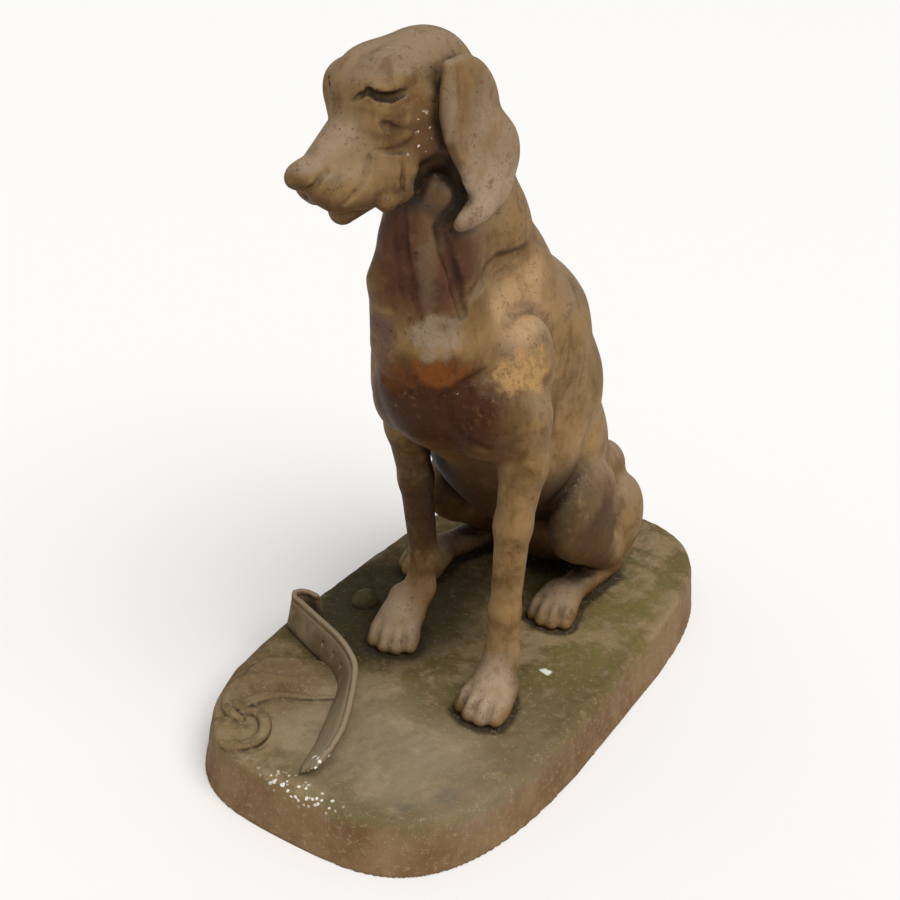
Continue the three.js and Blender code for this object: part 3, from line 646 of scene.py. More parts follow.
def strap_mesh(material):
    """The strap, lofted from its sections, with its buckle holes cut through."""
    rings = []
    for i in range(STRAP_STATIONS + 1):
        t = i / STRAP_STATIONS
        foot, rise, out, width = strap_at(t)
        end = min(1.0, (1 - t) * 26 + 0.25) * min(1.0, t * 60 + 0.4)
        rings.append([foot + rise * up + out * side * end for up, side in strap_section(width)])
    n = len(rings[0])
    faces = []
    for r in range(STRAP_STATIONS):
        near, far = r * n, (r + 1) * n
        faces += [(near + i, near + (i + 1) % n, far + (i + 1) % n, far + i) for i in range(n)]
    faces += [tuple(reversed(range(n))), tuple(STRAP_STATIONS * n + i for i in range(n))]
    obj = mesh_object("strap_casting", [p for ring in rings for p in ring], faces, [material])
    shape = bmesh.new()
    shape.from_mesh(obj.data)
    bmesh.ops.recalc_face_normals(shape, faces=shape.faces[:])
    shape.to_mesh(obj.data)
    shape.free()
    for t in STRAP_HOLE_PLACES:
        foot, rise, out, width = strap_at(t)
        pin = bmesh.new()
        radius = STRAP_HOLE_RADIUS / 1000
        seat = Matrix.Translation((foot + rise * width * STRAP_HOLE_RISE) / 1000)
        seat = seat @ out.to_track_quat("Z", "Y").to_matrix().to_4x4()
        bmesh.ops.create_cone(
            pin, cap_ends=True, segments=20, radius1=radius, radius2=radius, depth=STRAP_PIN, matrix=seat
        )
        pin_mesh = bpy.data.meshes.new("pin")
        pin.to_mesh(pin_mesh)
        pin.free()
        pin_object = put("pin", pin_mesh)
        cut = obj.modifiers.new("hole", "BOOLEAN")
        cut.operation = "DIFFERENCE"
        cut.object = pin_object
        plain_mesh(obj)
        bpy.data.objects.remove(pin_object)
    obj.data.materials.clear()
    obj.data.materials.append(material)
    obj.data.set_sharp_from_angle(angle=math.radians(50))
    points = points_of(obj)
    normals = np.zeros(len(points) * 3, np.float32)
    obj.data.vertices.foreach_get("normal", normals)
    # cavity here is nearness to the plinth's top, which the finish paints as shade; upward drives a painted
    # highlight
    reading(obj, "cavity", np.clip(1 - (points[:, 2] - PLINTH_HEIGHT) / 14, 0, 1) ** 1.5)
    reading(obj, "upward", normals.reshape(-1, 3)[:, 2])
    return obj


def stitch_tree(material):
    """Stitches along a curve, with their pitch, length and width as inputs."""
    tree = bpy.data.node_groups.new("stitch_row", "GeometryNodeTree")
    face = tree.interface
    face.new_socket("Seam", in_out="INPUT", socket_type="NodeSocketGeometry")
    for name, value in STITCH_SIZES.items():
        face.new_socket(name, in_out="INPUT", socket_type="NodeSocketFloat").default_value = value
    face.new_socket("Stitches", in_out="OUTPUT", socket_type="NodeSocketGeometry")

    def add(kind, settings=None, **links):
        made = tree.nodes.new(kind)
        for key, value in (settings or {}).items():
            setattr(made, key, value)
        for key, value in links.items():
            socket = made.inputs[key.replace("_", " ")]
            if isinstance(value, bpy.types.NodeSocket):
                tree.links.new(value, socket)
            else:
                socket.default_value = value
        return made

    start = tree.nodes.new("NodeGroupInput")
    seam, pitch = start.outputs["Seam"], start.outputs["Pitch"]
    length, width = start.outputs["Length"], start.outputs["Width"]
    spaced = add("GeometryNodeResampleCurve", {"mode": "LENGTH"}, Curve=seam, Length=pitch)
    along = add("GeometryNodeInputTangent")
    turned = add("FunctionNodeAlignRotationToVector", {"axis": "X"}, Vector=along.outputs["Tangent"])
    knot = add("GeometryNodeMeshIcoSphere", Radius=0.5, Subdivisions=2)
    size = add("ShaderNodeCombineXYZ", X=length, Y=width, Z=width)
    knots = add(
        "GeometryNodeInstanceOnPoints",
        Points=spaced.outputs["Curve"],
        Instance=knot.outputs["Mesh"],
        Rotation=turned.outputs["Rotation"],
        Scale=size.outputs["Vector"],
    )
    real = add("GeometryNodeRealizeInstances", Geometry=knots.outputs["Instances"])
    dressed = add("GeometryNodeSetMaterial", Geometry=real.outputs["Geometry"], Material=material)
    end = tree.nodes.new("NodeGroupOutput")
    tree.links.new(dressed.outputs["Geometry"], end.inputs["Stitches"])
    return tree


def stitch_row(material):
    """The stitches below the strap's rim, on its outer face."""
    seam = bpy.data.curves.new("seam", "CURVE")
    seam.dimensions = "3D"
    line = seam.splines.new("POLY")
    line.points.add(SEAM_STATIONS)
    for i in range(SEAM_STATIONS + 1):
        foot, rise, out, width = strap_at(0.03 + 0.9 * i / SEAM_STATIONS)
        rim = min(STRAP_RIM, width * 0.3)
        place = foot + rise * (width - rim - STRAP_SEAM_DROP) + out * STRAP_THICKNESS / 2 * 0.66
        line.points[i].co = (*(place / 1000), 1)
    row = put("strap_stitches", seam)
    modifier = row.modifiers.new("stitches", "NODES")
    tree = stitch_tree(material)
    modifier.node_group = tree
    for item in tree.interface.items_tree:
        if item.item_type == "SOCKET" and item.in_out == "INPUT" and item.name in STITCH_SIZES:
            modifier[item.identifier] = STITCH_SIZES[item.name]
    evaluated = row.evaluated_get(bpy.context.evaluated_depsgraph_get())
    mesh = bpy.data.meshes.new_from_object(evaluated)
    bpy.data.objects.remove(row)
    obj = put("strap_stitches", mesh)
    mesh.polygons.foreach_set("use_smooth", [True] * len(mesh.polygons))
    # a small, even share of the painted crevice shade and of the painted highlight on upward faces
    reading(obj, "cavity", np.full(len(mesh.vertices), 0.15))
    reading(obj, "upward", np.full(len(mesh.vertices), 0.3))
    return obj


# From a distance form to a mesh


def samples(form, low, high, cell):
    """The form's distances on a grid, worked out only near its surface."""
    low, high = np.array(low, float), np.array(high, float)
    block = 8
    blocks = np.ceil((high - low) / (cell * block)).astype(int)
    count = blocks * block
    middles = np.stack(np.meshgrid(*[np.arange(n) for n in blocks], indexing="ij"), -1).reshape(-1, 3)
    centres = (low + (middles + 0.5) * block * cell).astype(np.float32)
    coarse = form.value(centres)
    values = np.repeat(np.repeat(np.repeat(coarse.reshape(blocks), block, 0), block, 1), block, 2)
    close = np.abs(coarse) < block * cell * 1.25
    steps = np.stack(np.meshgrid(*[np.arange(block)] * 3, indexing="ij"), -1).reshape(-1, 3)
    chosen = middles[close]
    for start in range(0, len(chosen), 512):
        index = (chosen[start : start + 512, None, :] * block + steps[None]).reshape(-1, 3)
        values[tuple(index.T)] = form.value((low + index * cell).astype(np.float32))
    return values.reshape(count)


def bridge(values, cell):
    """Joins samples inside that meet only across an edge, so that the surface is never pinched."""
    inside = values < 0
    low, high = slice(None, -1), slice(1, None)
    for _ in range(12):
        changed = 0
        for axis in range(3):
            u, v = [a for a in range(3) if a != axis]
            corner = []
            for i, j in ((0, 0), (0, 1), (1, 0), (1, 1)):
                where = [slice(None)] * 3
                where[u], where[v] = (low, high)[i], (low, high)[j]
                corner.append(tuple(where))
            a, b, c, d = [inside[where] for where in corner]
            pinched = (a == d) & (b == c) & (a != b)
            if pinched.any():
                changed += int(pinched.sum())
                for where, fill in ((corner[1], pinched & a), (corner[0], pinched & ~a)):
                    part = values[where]
                    part[fill] = -cell / 50
                inside = values < 0
        if not changed:
            break


def surface(form, low, high, cell):
    """Points and quads of the form's surface, the points drawn onto it."""
    values = samples(form, low, high, cell)
    bridge(values, cell)
    inside = values < 0
    nx, ny, nz = values.shape
    corners = [(a, b, c) for a in (0, 1) for b in (0, 1) for c in (0, 1)]
    total = sum(inside[a : nx - 1 + a, b : ny - 1 + b, c : nz - 1 + c].astype(np.int8) for a, b, c in corners)
    cells = np.argwhere((total > 0) & (total < 8))
    number = np.full((nx - 1, ny - 1, nz - 1), -1, np.int32)
    number[tuple(cells.T)] = np.arange(len(cells))
    at = {q: values[cells[:, 0] + q[0], cells[:, 1] + q[1], cells[:, 2] + q[2]] for q in corners}
    total, crossings = np.zeros((len(cells), 3)), np.zeros(len(cells))
    for p in corners:
        for axis in range(3):
            if p[axis]:
                continue
            q = tuple(v + (i == axis) for i, v in enumerate(p))
            cut = (at[p] < 0) != (at[q] < 0)
            t = np.where(cut, at[p] / np.where(cut, at[p] - at[q], 1), 0)
            place = np.array(p, float)[None] + t[:, None] * (np.array(q) - np.array(p))[None]
            total += place * cut[:, None]
            crossings += cut
    points = np.array(low) + (cells + total / crossings[:, None]) * cell
    quads = []
    for axis in range(3):
        ahead = [slice(1, -1)] * 3
        ahead[axis] = slice(2, None)
        here = inside[1:-1, 1:-1, 1:-1]
        found = np.argwhere(here != inside[tuple(ahead)]) + 1
        first = inside[tuple(found.T)]
        u, v = np.eye(3, dtype=int)[(axis + 1) % 3], np.eye(3, dtype=int)[(axis + 2) % 3]
        ring = np.stack([number[tuple((found - s).T)] for s in (u + v, v, 0 * u, u)], 1)
        ring[~first] = ring[~first][:, ::-1]
        quads.append(ring)
    quads = np.concatenate(quads)
    points = points.astype(np.float32)
    for _ in range(2):
        points -= steepest(form, points, cell * 0.4, limit=cell)
    return points, quads


def steepest(form, points, step, limit=None):
    """The way from each point to the surface, limit long at most, or without a limit the unit normal."""
    here = form.value(points)
    slope = np.zeros_like(points)
    for axis in range(3):
        ahead = points.copy()
        ahead[:, axis] += step
        behind = points.copy()
        behind[:, axis] -= step
        slope[:, axis] = (form.value(ahead) - form.value(behind)) / (2 * step)
    size = np.maximum(np.linalg.norm(slope, axis=1), 0.3)
    if limit is None:
        return slope / size[:, None]
    return slope / size[:, None] * np.clip(here / size, -limit, limit)[:, None]


def largest(points, quads):
    """The biggest connected skin alone."""
    leader = np.arange(len(points))
    edges = np.concatenate([quads[:, [0, 1]], quads[:, [1, 2]], quads[:, [2, 3]], quads[:, [3, 0]]])
    while True:
        low = np.minimum(leader[edges[:, 0]], leader[edges[:, 1]])
        new = leader.copy()
        np.minimum.at(new, edges[:, 0], low)
        np.minimum.at(new, edges[:, 1], low)
        new = new[new]
        if (new == leader).all():
            break
        leader = new
    labels, sizes = np.unique(leader, return_counts=True)
    keep = leader == labels[sizes.argmax()]
    index = np.cumsum(keep) - 1
    return points[keep], index[quads[keep[quads[:, 0]]]]


def put(name, data):
    """A new object in the scene."""
    obj = bpy.data.objects.new(name, data)
    bpy.context.scene.collection.objects.link(obj)
    return obj


def mesh_object(name, points, faces, materials):
    """A mesh in metres from points in millimetres."""
    mesh = bpy.data.meshes.new(name)
    places = (np.asarray(points, float) / 1000).tolist()
    mesh.from_pydata(places, [], [tuple(map(int, face)) for face in faces])
    mesh.polygons.foreach_set("use_smooth", [True] * len(mesh.polygons))
    for material in materials:
        mesh.materials.append(material)
    return put(name, mesh)


def plain_mesh(obj):
    """The object with its modifiers worked into its mesh."""
    evaluated = obj.evaluated_get(bpy.context.evaluated_depsgraph_get())
    mesh = bpy.data.meshes.new_from_object(evaluated)
    obj.modifiers.clear()
    obj.data = mesh
    return obj


def thinned(obj, triangles):
    """Fewer triangles for the same form."""
    count = sum(len(f.vertices) - 2 for f in obj.data.polygons)
    if count > triangles:
        thin = obj.modifiers.new("thin", "DECIMATE")
        thin.ratio = triangles / count
        plain_mesh(obj)
    return obj


def cut_flat(obj, height):
    """Cuts the mesh off level at a height, and closes its sole."""
    shape = bmesh.new()
    shape.from_mesh(obj.data)
    geometry = shape.verts[:] + shape.edges[:] + shape.faces[:]
    level = Vector((0, 0, height / 1000))
    bmesh.ops.bisect_plane(shape, geom=geometry, plane_co=level, plane_no=(0, 0, 1), clear_inner=True)
    rim = [e for e in shape.edges if e.is_boundary]
    bmesh.ops.holes_fill(shape, edges=rim, sides=0)
    bmesh.ops.recalc_face_normals(shape, faces=shape.faces[:])
    shape.to_mesh(obj.data)
    shape.free()
    return obj


def reading(obj, name, numbers):
    """Keeps one number for each vertex, which the finish reads."""
    layer = obj.data.attributes.new(name, "FLOAT", "POINT")
    layer.data.foreach_set("value", np.asarray(numbers, np.float32))


def points_of(obj):
    flat = np.zeros(len(obj.data.vertices) * 3, np.float32)
    obj.data.vertices.foreach_get("co", flat)
    return flat.reshape(-1, 3) * 1000


# Finishes


class Value:
    """A shader socket that sums can be written with."""

    def __init__(self, finish, socket):
        self.finish = finish
        self.socket = socket

    def sum(self, operation, *others):
        return self.finish.node("ShaderNodeMath", {"operation": operation}, *others)

    def __add__(self, other):
        return self.sum("ADD", self, other)

    def __radd__(self, other):
        return self.sum("ADD", other, self)

    def __sub__(self, other):
        return self.sum("SUBTRACT", self, other)

    def __rsub__(self, other):
        return self.sum("SUBTRACT", other, self)

    def __mul__(self, other):
        return self.sum("MULTIPLY", self, other)

    def __rmul__(self, other):
        return self.sum("MULTIPLY", other, self)

    def most(self, other):
        return self.sum("MAXIMUM", self, other)

    def held(self):
        return self.sum("MAXIMUM", self.sum("MINIMUM", self, 1.0), 0.0)


class Finish:
    """A node material under construction."""

    def __init__(self, name):
        self.material = bpy.data.materials.new(name)
        self.material.use_nodes = True
        self.tree = self.material.node_tree
        self.tree.nodes.clear()
        self.place = Value(self, self.raw("ShaderNodeTexCoord").outputs["Object"])

    def raw(self, kind, settings=None, *values, at=None, **named):
        made = self.tree.nodes.new(kind)
        for key, value in (settings or {}).items():
            setattr(made, key, value)
        for key, value in list(enumerate(values)) + list((at or {}).items()) + list(named.items()):
            socket = made.inputs[key]
            if isinstance(value, Value):
                self.tree.links.new(value.socket, socket)
            else:
                socket.default_value = value
        return made

    def node(self, kind, settings=None, *values, output=0, at=None, **named):
        return Value(self, self.raw(kind, settings, *values, at=at, **named).outputs[output])

    def vector(self, operation, *values, **named):
        return self.node("ShaderNodeVectorMath", {"operation": operation}, *values, **named)

    def read(self, name):
        return self.node("ShaderNodeAttribute", {"attribute_name": name}, output="Fac")

    def axis(self, letter):
        return Value(self, self.raw("ShaderNodeSeparateXYZ", {}, self.place).outputs[letter])

    def noise(self, size, detail=4.0, rough=0.55, warp=0.0, place=None):
        """Noise with features about size millimetres wide."""
        sizes = {"Scale": 1000.0 / size, "Detail": detail, "Roughness": rough, "Distortion": warp}
        return self.node("ShaderNodeTexNoise", SOLID_NOISE, Vector=place or self.place, **sizes)

    def spots(self, size):
        """How far the nearest of scattered points is, as a share of their spacing, size millimetres."""
        nearest = {"feature": "F1"}
        scale = 1000.0 / size
        return self.node("ShaderNodeTexVoronoi", nearest, Vector=self.place, Scale=scale, output="Distance")

    def span(self, value, low, high):
        """0 below low, 1 above high, and a smooth way between."""
        smooth = {"interpolation_type": "SMOOTHSTEP", "clamp": True}
        return self.node("ShaderNodeMapRange", smooth, value, low, high, 0.0, 1.0)

    def blend(self, share, a, b):
        """Colour a, going over to colour b."""
        ends = [end if isinstance(end, Value) else (*end, 1) for end in (a, b)]
        mix = {"data_type": "RGBA", "clamp_factor": True}
        return self.node("ShaderNodeMix", mix, output=2, at={0: share, 6: ends[0], 7: ends[1]})

    def ragged(self, amount, size=24):
        """Places shaken by noise, so that the edge of a patch wanders."""
        sizes = {"Scale": 1000.0 / size, "Detail": 4.0}
        grain = self.node("ShaderNodeTexNoise", SOLID_NOISE, Vector=self.place, output="Color", **sizes)
        centred = self.vector("SUBTRACT", grain, (0.5, 0.5, 0.5))
        return self.vector("ADD", self.place, self.vector("SCALE", centred, Scale=amount / 1000))

    def patch(self, place, centre, half, soft=0.5):
        """1 within an ellipsoid given in millimetres, fading to 0 outside it."""
        away = self.vector("SUBTRACT", place, tuple(c / 1000 for c in centre))
        share = self.vector("DIVIDE", away, tuple(h / 1000 for h in half))
        reach = self.vector("LENGTH", share, output="Value")
        return 1.0 - self.span(reach, 1 - soft, 1 + soft)

    def lay(self, colour, patches, edges, breakers):
        """Lays patches on a colour, one over another, and gives it back with each one's mask."""
        masks = {}
        for name, (edge, soft, lobes, broken, strength, tint) in patches.items():
            spread = [self.patch(edges[edge], middle, half, soft) * share for middle, half, share in lobes]
            masks[name] = share = functools.reduce(Value.most, spread)
            if broken:
                breaker, low, high = broken
                share = share * self.span(breakers[breaker], low, high)
            colour = self.blend(share * strength, colour, tint)
        return colour, masks

    def close(self, colour, roughness, metallic, height, depth):
        """Ends in a Principled shader with a bump depth in millimetres."""
        bump = self.raw("ShaderNodeBump", {}, Height=height, Strength=1.0, Distance=depth / 1000)
        shader = self.raw("ShaderNodeBsdfPrincipled")
        self.tree.links.new(colour.socket, shader.inputs["Base Color"])
        self.tree.links.new(bump.outputs["Normal"], shader.inputs["Normal"])
        shader.inputs["Specular IOR Level"].default_value = IRON_SPECULAR
        for name, value in (("Roughness", roughness), ("Metallic", metallic)):
            if isinstance(value, Value):
                self.tree.links.new(value.socket, shader.inputs[name])
            else:
                shader.inputs[name].default_value = value
        end = self.raw("ShaderNodeOutputMaterial")
        self.tree.links.new(shader.outputs[0], end.inputs["Surface"])
        return self.material


SOLID_NOISE = {"noise_dimensions": "3D"}
IRON_SPECULAR = 0.14
TAUPE = (0.275, 0.162, 0.066)
PALE_TAUPE = (0.28, 0.205, 0.135)
OLIVE = (0.13, 0.071, 0.016)
UMBER = (0.07, 0.03, 0.009)
BLACK_BROWN = (0.018, 0.009, 0.004)
RUST_BROWN = (0.038, 0.0095, 0.0016)
RUST_RED = (0.078, 0.026, 0.012)
RUST_ORANGE = (0.17, 0.05, 0.006)
OCHRE = (0.45, 0.26, 0.095)
PLUM = (0.12, 0.065, 0.052)
MOSS = (0.135, 0.118, 0.034)
LIME = (0.78, 0.76, 0.68)
DARK_RUN = (0.105, 0.056, 0.016)
RUST_SPOT = (0.12, 0.04, 0.014)
PALE_SPOT = (0.42, 0.33, 0.24)
PALE_SCRATCH_AND_GLINT = (0.75, 0.68, 0.55)
PLINTH_TOP = ((0.25, 0.18, 0.09), (0.13, 0.088, 0.036))
PLINTH_SIDE = ((0.235, 0.145, 0.068), (0.15, 0.078, 0.03))
PLINTH_RUST = (0.19, 0.07, 0.022)
PLINTH_GRIT = (0.40, 0.33, 0.24)
RIM_MOSS = (0.13, 0.125, 0.04)
CONTACT_SHADE = (0.03, 0.02, 0.01)
STRAP_FACE = ((0.21, 0.15, 0.083), (0.135, 0.092, 0.045))
STRAP_HIGHLIGHT = (0.33, 0.255, 0.165)
STRAP_RUST = (0.16, 0.06, 0.022)

# How edges wander: by how many millimetres, and over how many
HOUND_EDGES = {"loose": (70, 60), "tight": (44, 20), "fine": (26, 18), "crisp": (10, 12), "thin": (12, 10)}
PLINTH_EDGES = {"loose": (80, 80), "tight": (12, 12)}

# Patches, one laid over another. Each has its edge and softness, its lobes by middle, half size and share,
# what breaks it up and from where to where, its strength and its colour.
HOUND_PATCHES = {
    "cheek": (
        "loose", 0.4, [((30, -235, 800), (26, 60, 44), 1)],
        ("mottle", 0.25, 0.55), 0.8, (0.13, 0.062, 0.024),
    ),
    "neck": ("loose", 0.35, [((12, -205, 655), (78, 62, 72), 1)], ("mottle", 0.1, 0.42), 0.92, RUST_RED),
    "chest": ("loose", 0.35, [((25, -200, 475), (110, 86, 62), 1)], ("mottle", 0.1, 0.42), 0.95, RUST_BROWN),
    "throat": (
        "fine", 0.5, [((22, -220, 655), (11, 40, 62), 1)],
        ("mottle", 0.25, 0.55), 0.65, (0.17, 0.115, 0.06),
    ),
    "ball": (
        "tight", 0.4, [((28, -222, 733), (24, 34, 26), 1)],
        ("mottle", 0.15, 0.5), 0.75, (0.075, 0.044, 0.024),
    ),
    "orange": (
        "tight", 0.5, [((38, -206, 526), (30, 44, 15), 1), ((-18, -216, 508), (26, 40, 18), 0.6)],
        ("mottle", 0.28, 0.52), 0.85, RUST_ORANGE,
    ),
    "plum": ("loose", 0.4, [((-36, -220, 556), (30, 50, 30), 1)], ("mottle", 0.35, 0.6), 0.8, PLUM),
    "breast": ("tight", 0.3, [((32, -210, 568), (27, 40, 24), 1)], ("mottle", 0.33, 0.55), 0.85, PALE_TAUPE),
    # painted highlight: a pale pool where light falls on the left shoulder
    "shoulder": (
        "loose", 0.5, [((66, -82, 575), (34, 52, 50), 1)],
        ("mottle", 0.25, 0.55), 0.85, (0.52, 0.33, 0.17),
    ),
    "flank": (
        "loose", 0.5, [((96, 92, 360), (40, 60, 52), 1)],
        ("mottle", 0.3, 0.6), 0.7, (0.40, 0.235, 0.085),
    ),
    "wear_and_highlight": (
        "loose", 0.5,
        [
            ((-34, -300, 778), (34, 42, 32), 0.5), ((74, -180, 732), (34, 44, 34), 1),
            ((114, -178, 108), (30, 44, 28), 1), ((-56, -120, 104), (30, 44, 22), 0.6),
        ],
        ("mottle", 0.25, 0.6), 0.75, (0.42, 0.315, 0.21),
    ),
    # painted highlight: the left ear's leaf made paler where light falls on it
    "ear": (
        "loose", 0.35, [((66, -165, 770), (40, 66, 92), 1)],
        ("mottle", 0.25, 0.6), 0.7, (0.36, 0.255, 0.165),
    ),
    "ear_fold": ("crisp", 0.4, [((49, -236, 826), (7, 10, 44), 1)], None, 0.4, (0.30, 0.225, 0.15)),
    "ear_line": (
        "thin", 0.5, [((58, -224, 830), (3, 7, 42), 1)],
        ("mottle", 0.3, 0.6), 0.7, (0.16, 0.068, 0.022),
    ),
    "ochre": ("tight", 0.3, [((106, -128, 518), (38, 46, 22), 1)], ("fleck", 0.66, 0.88), 0.9, OCHRE),
    "calf": ("loose", 0.35, [((132, 94, 222), (44, 50, 54), 1)], ("mottle", 0.15, 0.45), 0.9, UMBER),
    # painted shade: the right foreleg, turned away from the light, darkened towards umber
    "foreleg": ("loose", 0.4, [((-62, -80, 270), (34, 40, 120), 1)], ("mottle", 0.25, 0.55), 0.75, UMBER),
    # painted shade: the belly between the legs made almost black
    "belly_shade": (
        "loose", 0.35, [((10, 10, 260), (130, 130, 90), 1)],
        ("mottle", 0.15, 0.45), 0.85, (0.034, 0.018, 0.006),
    ),
}  # fmt: skip
PLINTH_PATCHES = {
    "green": (
        "loose", 0.5, [((165, 110, 72), (60, 170, 40), 1)],
        ("mottle", 0.38, 0.6), 0.6, (0.19, 0.155, 0.042),
    ),
    "shade": (
        "loose", 0.4, [((-120, -50, 72), (130, 165, 40), 1)],
        ("mottle", 0.1, 0.45), 0.92, (0.03, 0.025, 0.009),
    ),
    "wear_and_highlight": (
        "loose", 0.5, [((160, -260, 72), (80, 130, 40), 1)],
        ("mottle", 0.3, 0.6), 0.75, (0.215, 0.155, 0.092),
    ),
    "stains": (
        "tight", 0.5, [((150, -328, 72), (13, 17, 30), 1), ((120, -372, 72), (10, 8, 30), 1)],
        None, 0.5, (0.06, 0.055, 0.05),
    ),
    "reddish": ("loose", 0.5, [((-130, -275, 72), (70, 60, 40), 1)], None, 0.6, (0.13, 0.075, 0.036)),
    "pale": ("loose", 0.5, [((40, -300, 72), (120, 90, 40), 1)], None, 0.5, (0.36, 0.29, 0.19)),
}  # fmt: skip


def hound_iron():
    f = Finish("hound_iron")
    cavity = f.read("cavity")
    upward = f.read("upward")
    broad = f.noise(110, 4, 0.6, 0.6)
    mottle = f.noise(30, 7, 0.68, 0.4)
    fleck = f.noise(6, 6, 0.7)
    grain = f.noise(2.2, 3, 0.6)
    drawn = f.vector("MULTIPLY", f.place, (1.0, 1.0, 0.22))
    runs = f.noise(16, 5, 0.6, 0.4, place=drawn)
    edges = {name: f.ragged(*shake) for name, shake in HOUND_EDGES.items()}
    colour = f.blend(f.span(broad + (mottle - 0.5) * 0.7, 0.28, 0.78), TAUPE, OLIVE)
    lit = f.span(upward + (mottle - 0.5) * 0.9, 0.05, 0.95)
    colour = f.blend(lit * 0.75, colour, PALE_TAUPE)
    streaks = f.span(runs + (broad - 0.5) * 0.6, 0.5, 0.72)
    colour = f.blend(streaks * 0.55, colour, DARK_RUN)
    # painted shade: faces that look down are darkened towards umber
    underside_shade = f.span(0.15 - upward + (mottle - 0.5) * 0.7, 0.0, 0.75)
    colour = f.blend(underside_shade * 0.8, colour, UMBER)
    colour, masks = f.lay(colour, HOUND_PATCHES, edges, {"mottle": mottle, "fleck": fleck * 0.6 + mottle})
    # painted shade: hollows darkened by how deep they lie, less so beside the ear and at the far brow
    beside_ear = f.patch(f.place, (36, -226, 820), (24, 44, 56), 0.4)
    far_brow = f.patch(f.place, (-72, -262, 832), (20, 20, 20), 0.3)
    crevice_shade = f.span(cavity + (mottle - 0.5) * 0.3 - beside_ear * 0.2 - far_brow * 0.5, 0.14, 0.62)
    colour = f.blend(crevice_shade * 0.9, colour, BLACK_BROWN)
    rust_spots = f.span(fleck + (mottle - 0.5) * 0.7, 0.56, 0.7)
    colour = f.blend(rust_spots * 0.55, colour, RUST_SPOT)
    pale_spots = f.span(fleck + (grain - 0.5) * 0.6, 0.58, 0.72)
    colour = f.blend(pale_spots * lit * 0.4, colour, PALE_SPOT)
    dark_spots = f.span(fleck - (mottle - 0.5) * 0.5, 0.38, 0.26)
    colour = f.blend(dark_spots * 0.5, colour, BLACK_BROWN)
    # painted highlight: small glints on the chest, laid in the same pale colour as the scratch marks
    glints = f.span(f.noise(3.2, 2, 0.5) + (fleck - 0.5) * 0.8, 0.8, 0.86)
    marks = f.patch(edges["tight"], (21, -240, 790), (9, 12, 34), 0.4)
    marks = marks * f.span(f.noise(7, 2, 0.5), 0.62, 0.68)
    colour = f.blend(marks.most(glints * masks["chest"] * 0.5), colour, PALE_SCRATCH_AND_GLINT)
    roughness = 0.5 + mottle * 0.28 - underside_shade * 0.1 - masks["neck"] * 0.12
    height = mottle * 0.55 + fleck * 0.35 + grain * 0.12 - dark_spots * 0.2
    return f.close(colour, roughness.held(), 0.0, height, 2.2)


def plinth_iron():
    f = Finish("plinth_iron")
    cavity = f.read("cavity")
    upward = f.read("upward")
    height_of = f.axis("Z")
    broad = f.noise(150, 4, 0.6, 0.5)
    mottle = f.noise(38, 6, 0.65, 0.3)
    fleck = f.noise(8, 5, 0.65)
    grain = f.noise(2.4, 3, 0.6)
    drawn = f.vector("MULTIPLY", f.place, (1.0, 1.0, 0.55))
    runs = f.noise(44, 6, 0.7, place=drawn)
    top = f.span(upward, 0.35, 0.8)
    flat_colour = f.blend(f.span(broad + (mottle - 0.5) * 1.1, 0.36, 0.62), *PLINTH_TOP)
    side_colour = f.blend(f.span(runs + (broad - 0.5) * 0.6, 0.3, 0.75), *PLINTH_SIDE)
    colour = f.blend(top, side_colour, flat_colour)
    algae = f.span(broad + (mottle - 0.5) * 0.9, 0.5, 0.66)
    colour = f.blend(top * algae * 0.4, colour, MOSS)
    edges = {name: f.ragged(*shake) for name, shake in PLINTH_EDGES.items()}
    colour, masks = f.lay(colour, PLINTH_PATCHES, edges, {"mottle": mottle})
    rim = f.span(height_of, 0.050, 0.066) * (1.0 - top)
    colour = f.blend(rim * f.span(mottle, 0.4, 0.6) * 0.5, colour, RIM_MOSS)
    # painted shade: hollows and the ground around the paws, the strap and the lead darkened
    crevice_shade = f.span(cavity + (mottle - 0.5) * 0.2, 0.2, 0.62)
    colour = f.blend(crevice_shade * 0.85, colour, CONTACT_SHADE)
    dark_spots = f.span(fleck, 0.36, 0.24)
    colour = f.blend(dark_spots * 0.4, colour, BLACK_BROWN)
    rust_spots = f.span(fleck + (mottle - 0.5) * 0.4, 0.6, 0.72)
    colour = f.blend(rust_spots * 0.4, colour, PLINTH_RUST)
    lime_zone = f.patch(edges["tight"], (8, -414, 70), (56, 13, 14), 0.4)
    pale_spots = f.span(fleck + (grain - 0.5) * 0.8, 0.56, 0.72)
    colour = f.blend(pale_spots * (1.0 - masks["shade"] * 0.75) * 0.35, colour, PLINTH_GRIT)
    drops = 1.0 - f.span(f.spots(7) + (fleck - 0.5) * 0.9, 0.2, 0.34)
    colour = f.blend(lime_zone * drops, colour, LIME)
    blob = f.patch(edges["tight"], (133, -50, 72), (7, 6, 8), 0.3)
    colour = f.blend(blob, colour, LIME)
    height = mottle * 0.6 + fleck * 0.4 + grain * 0.15 + runs * 0.2
    return f.close(colour, (0.62 + mottle * 0.25).held(), 0.0, height, 2.6)


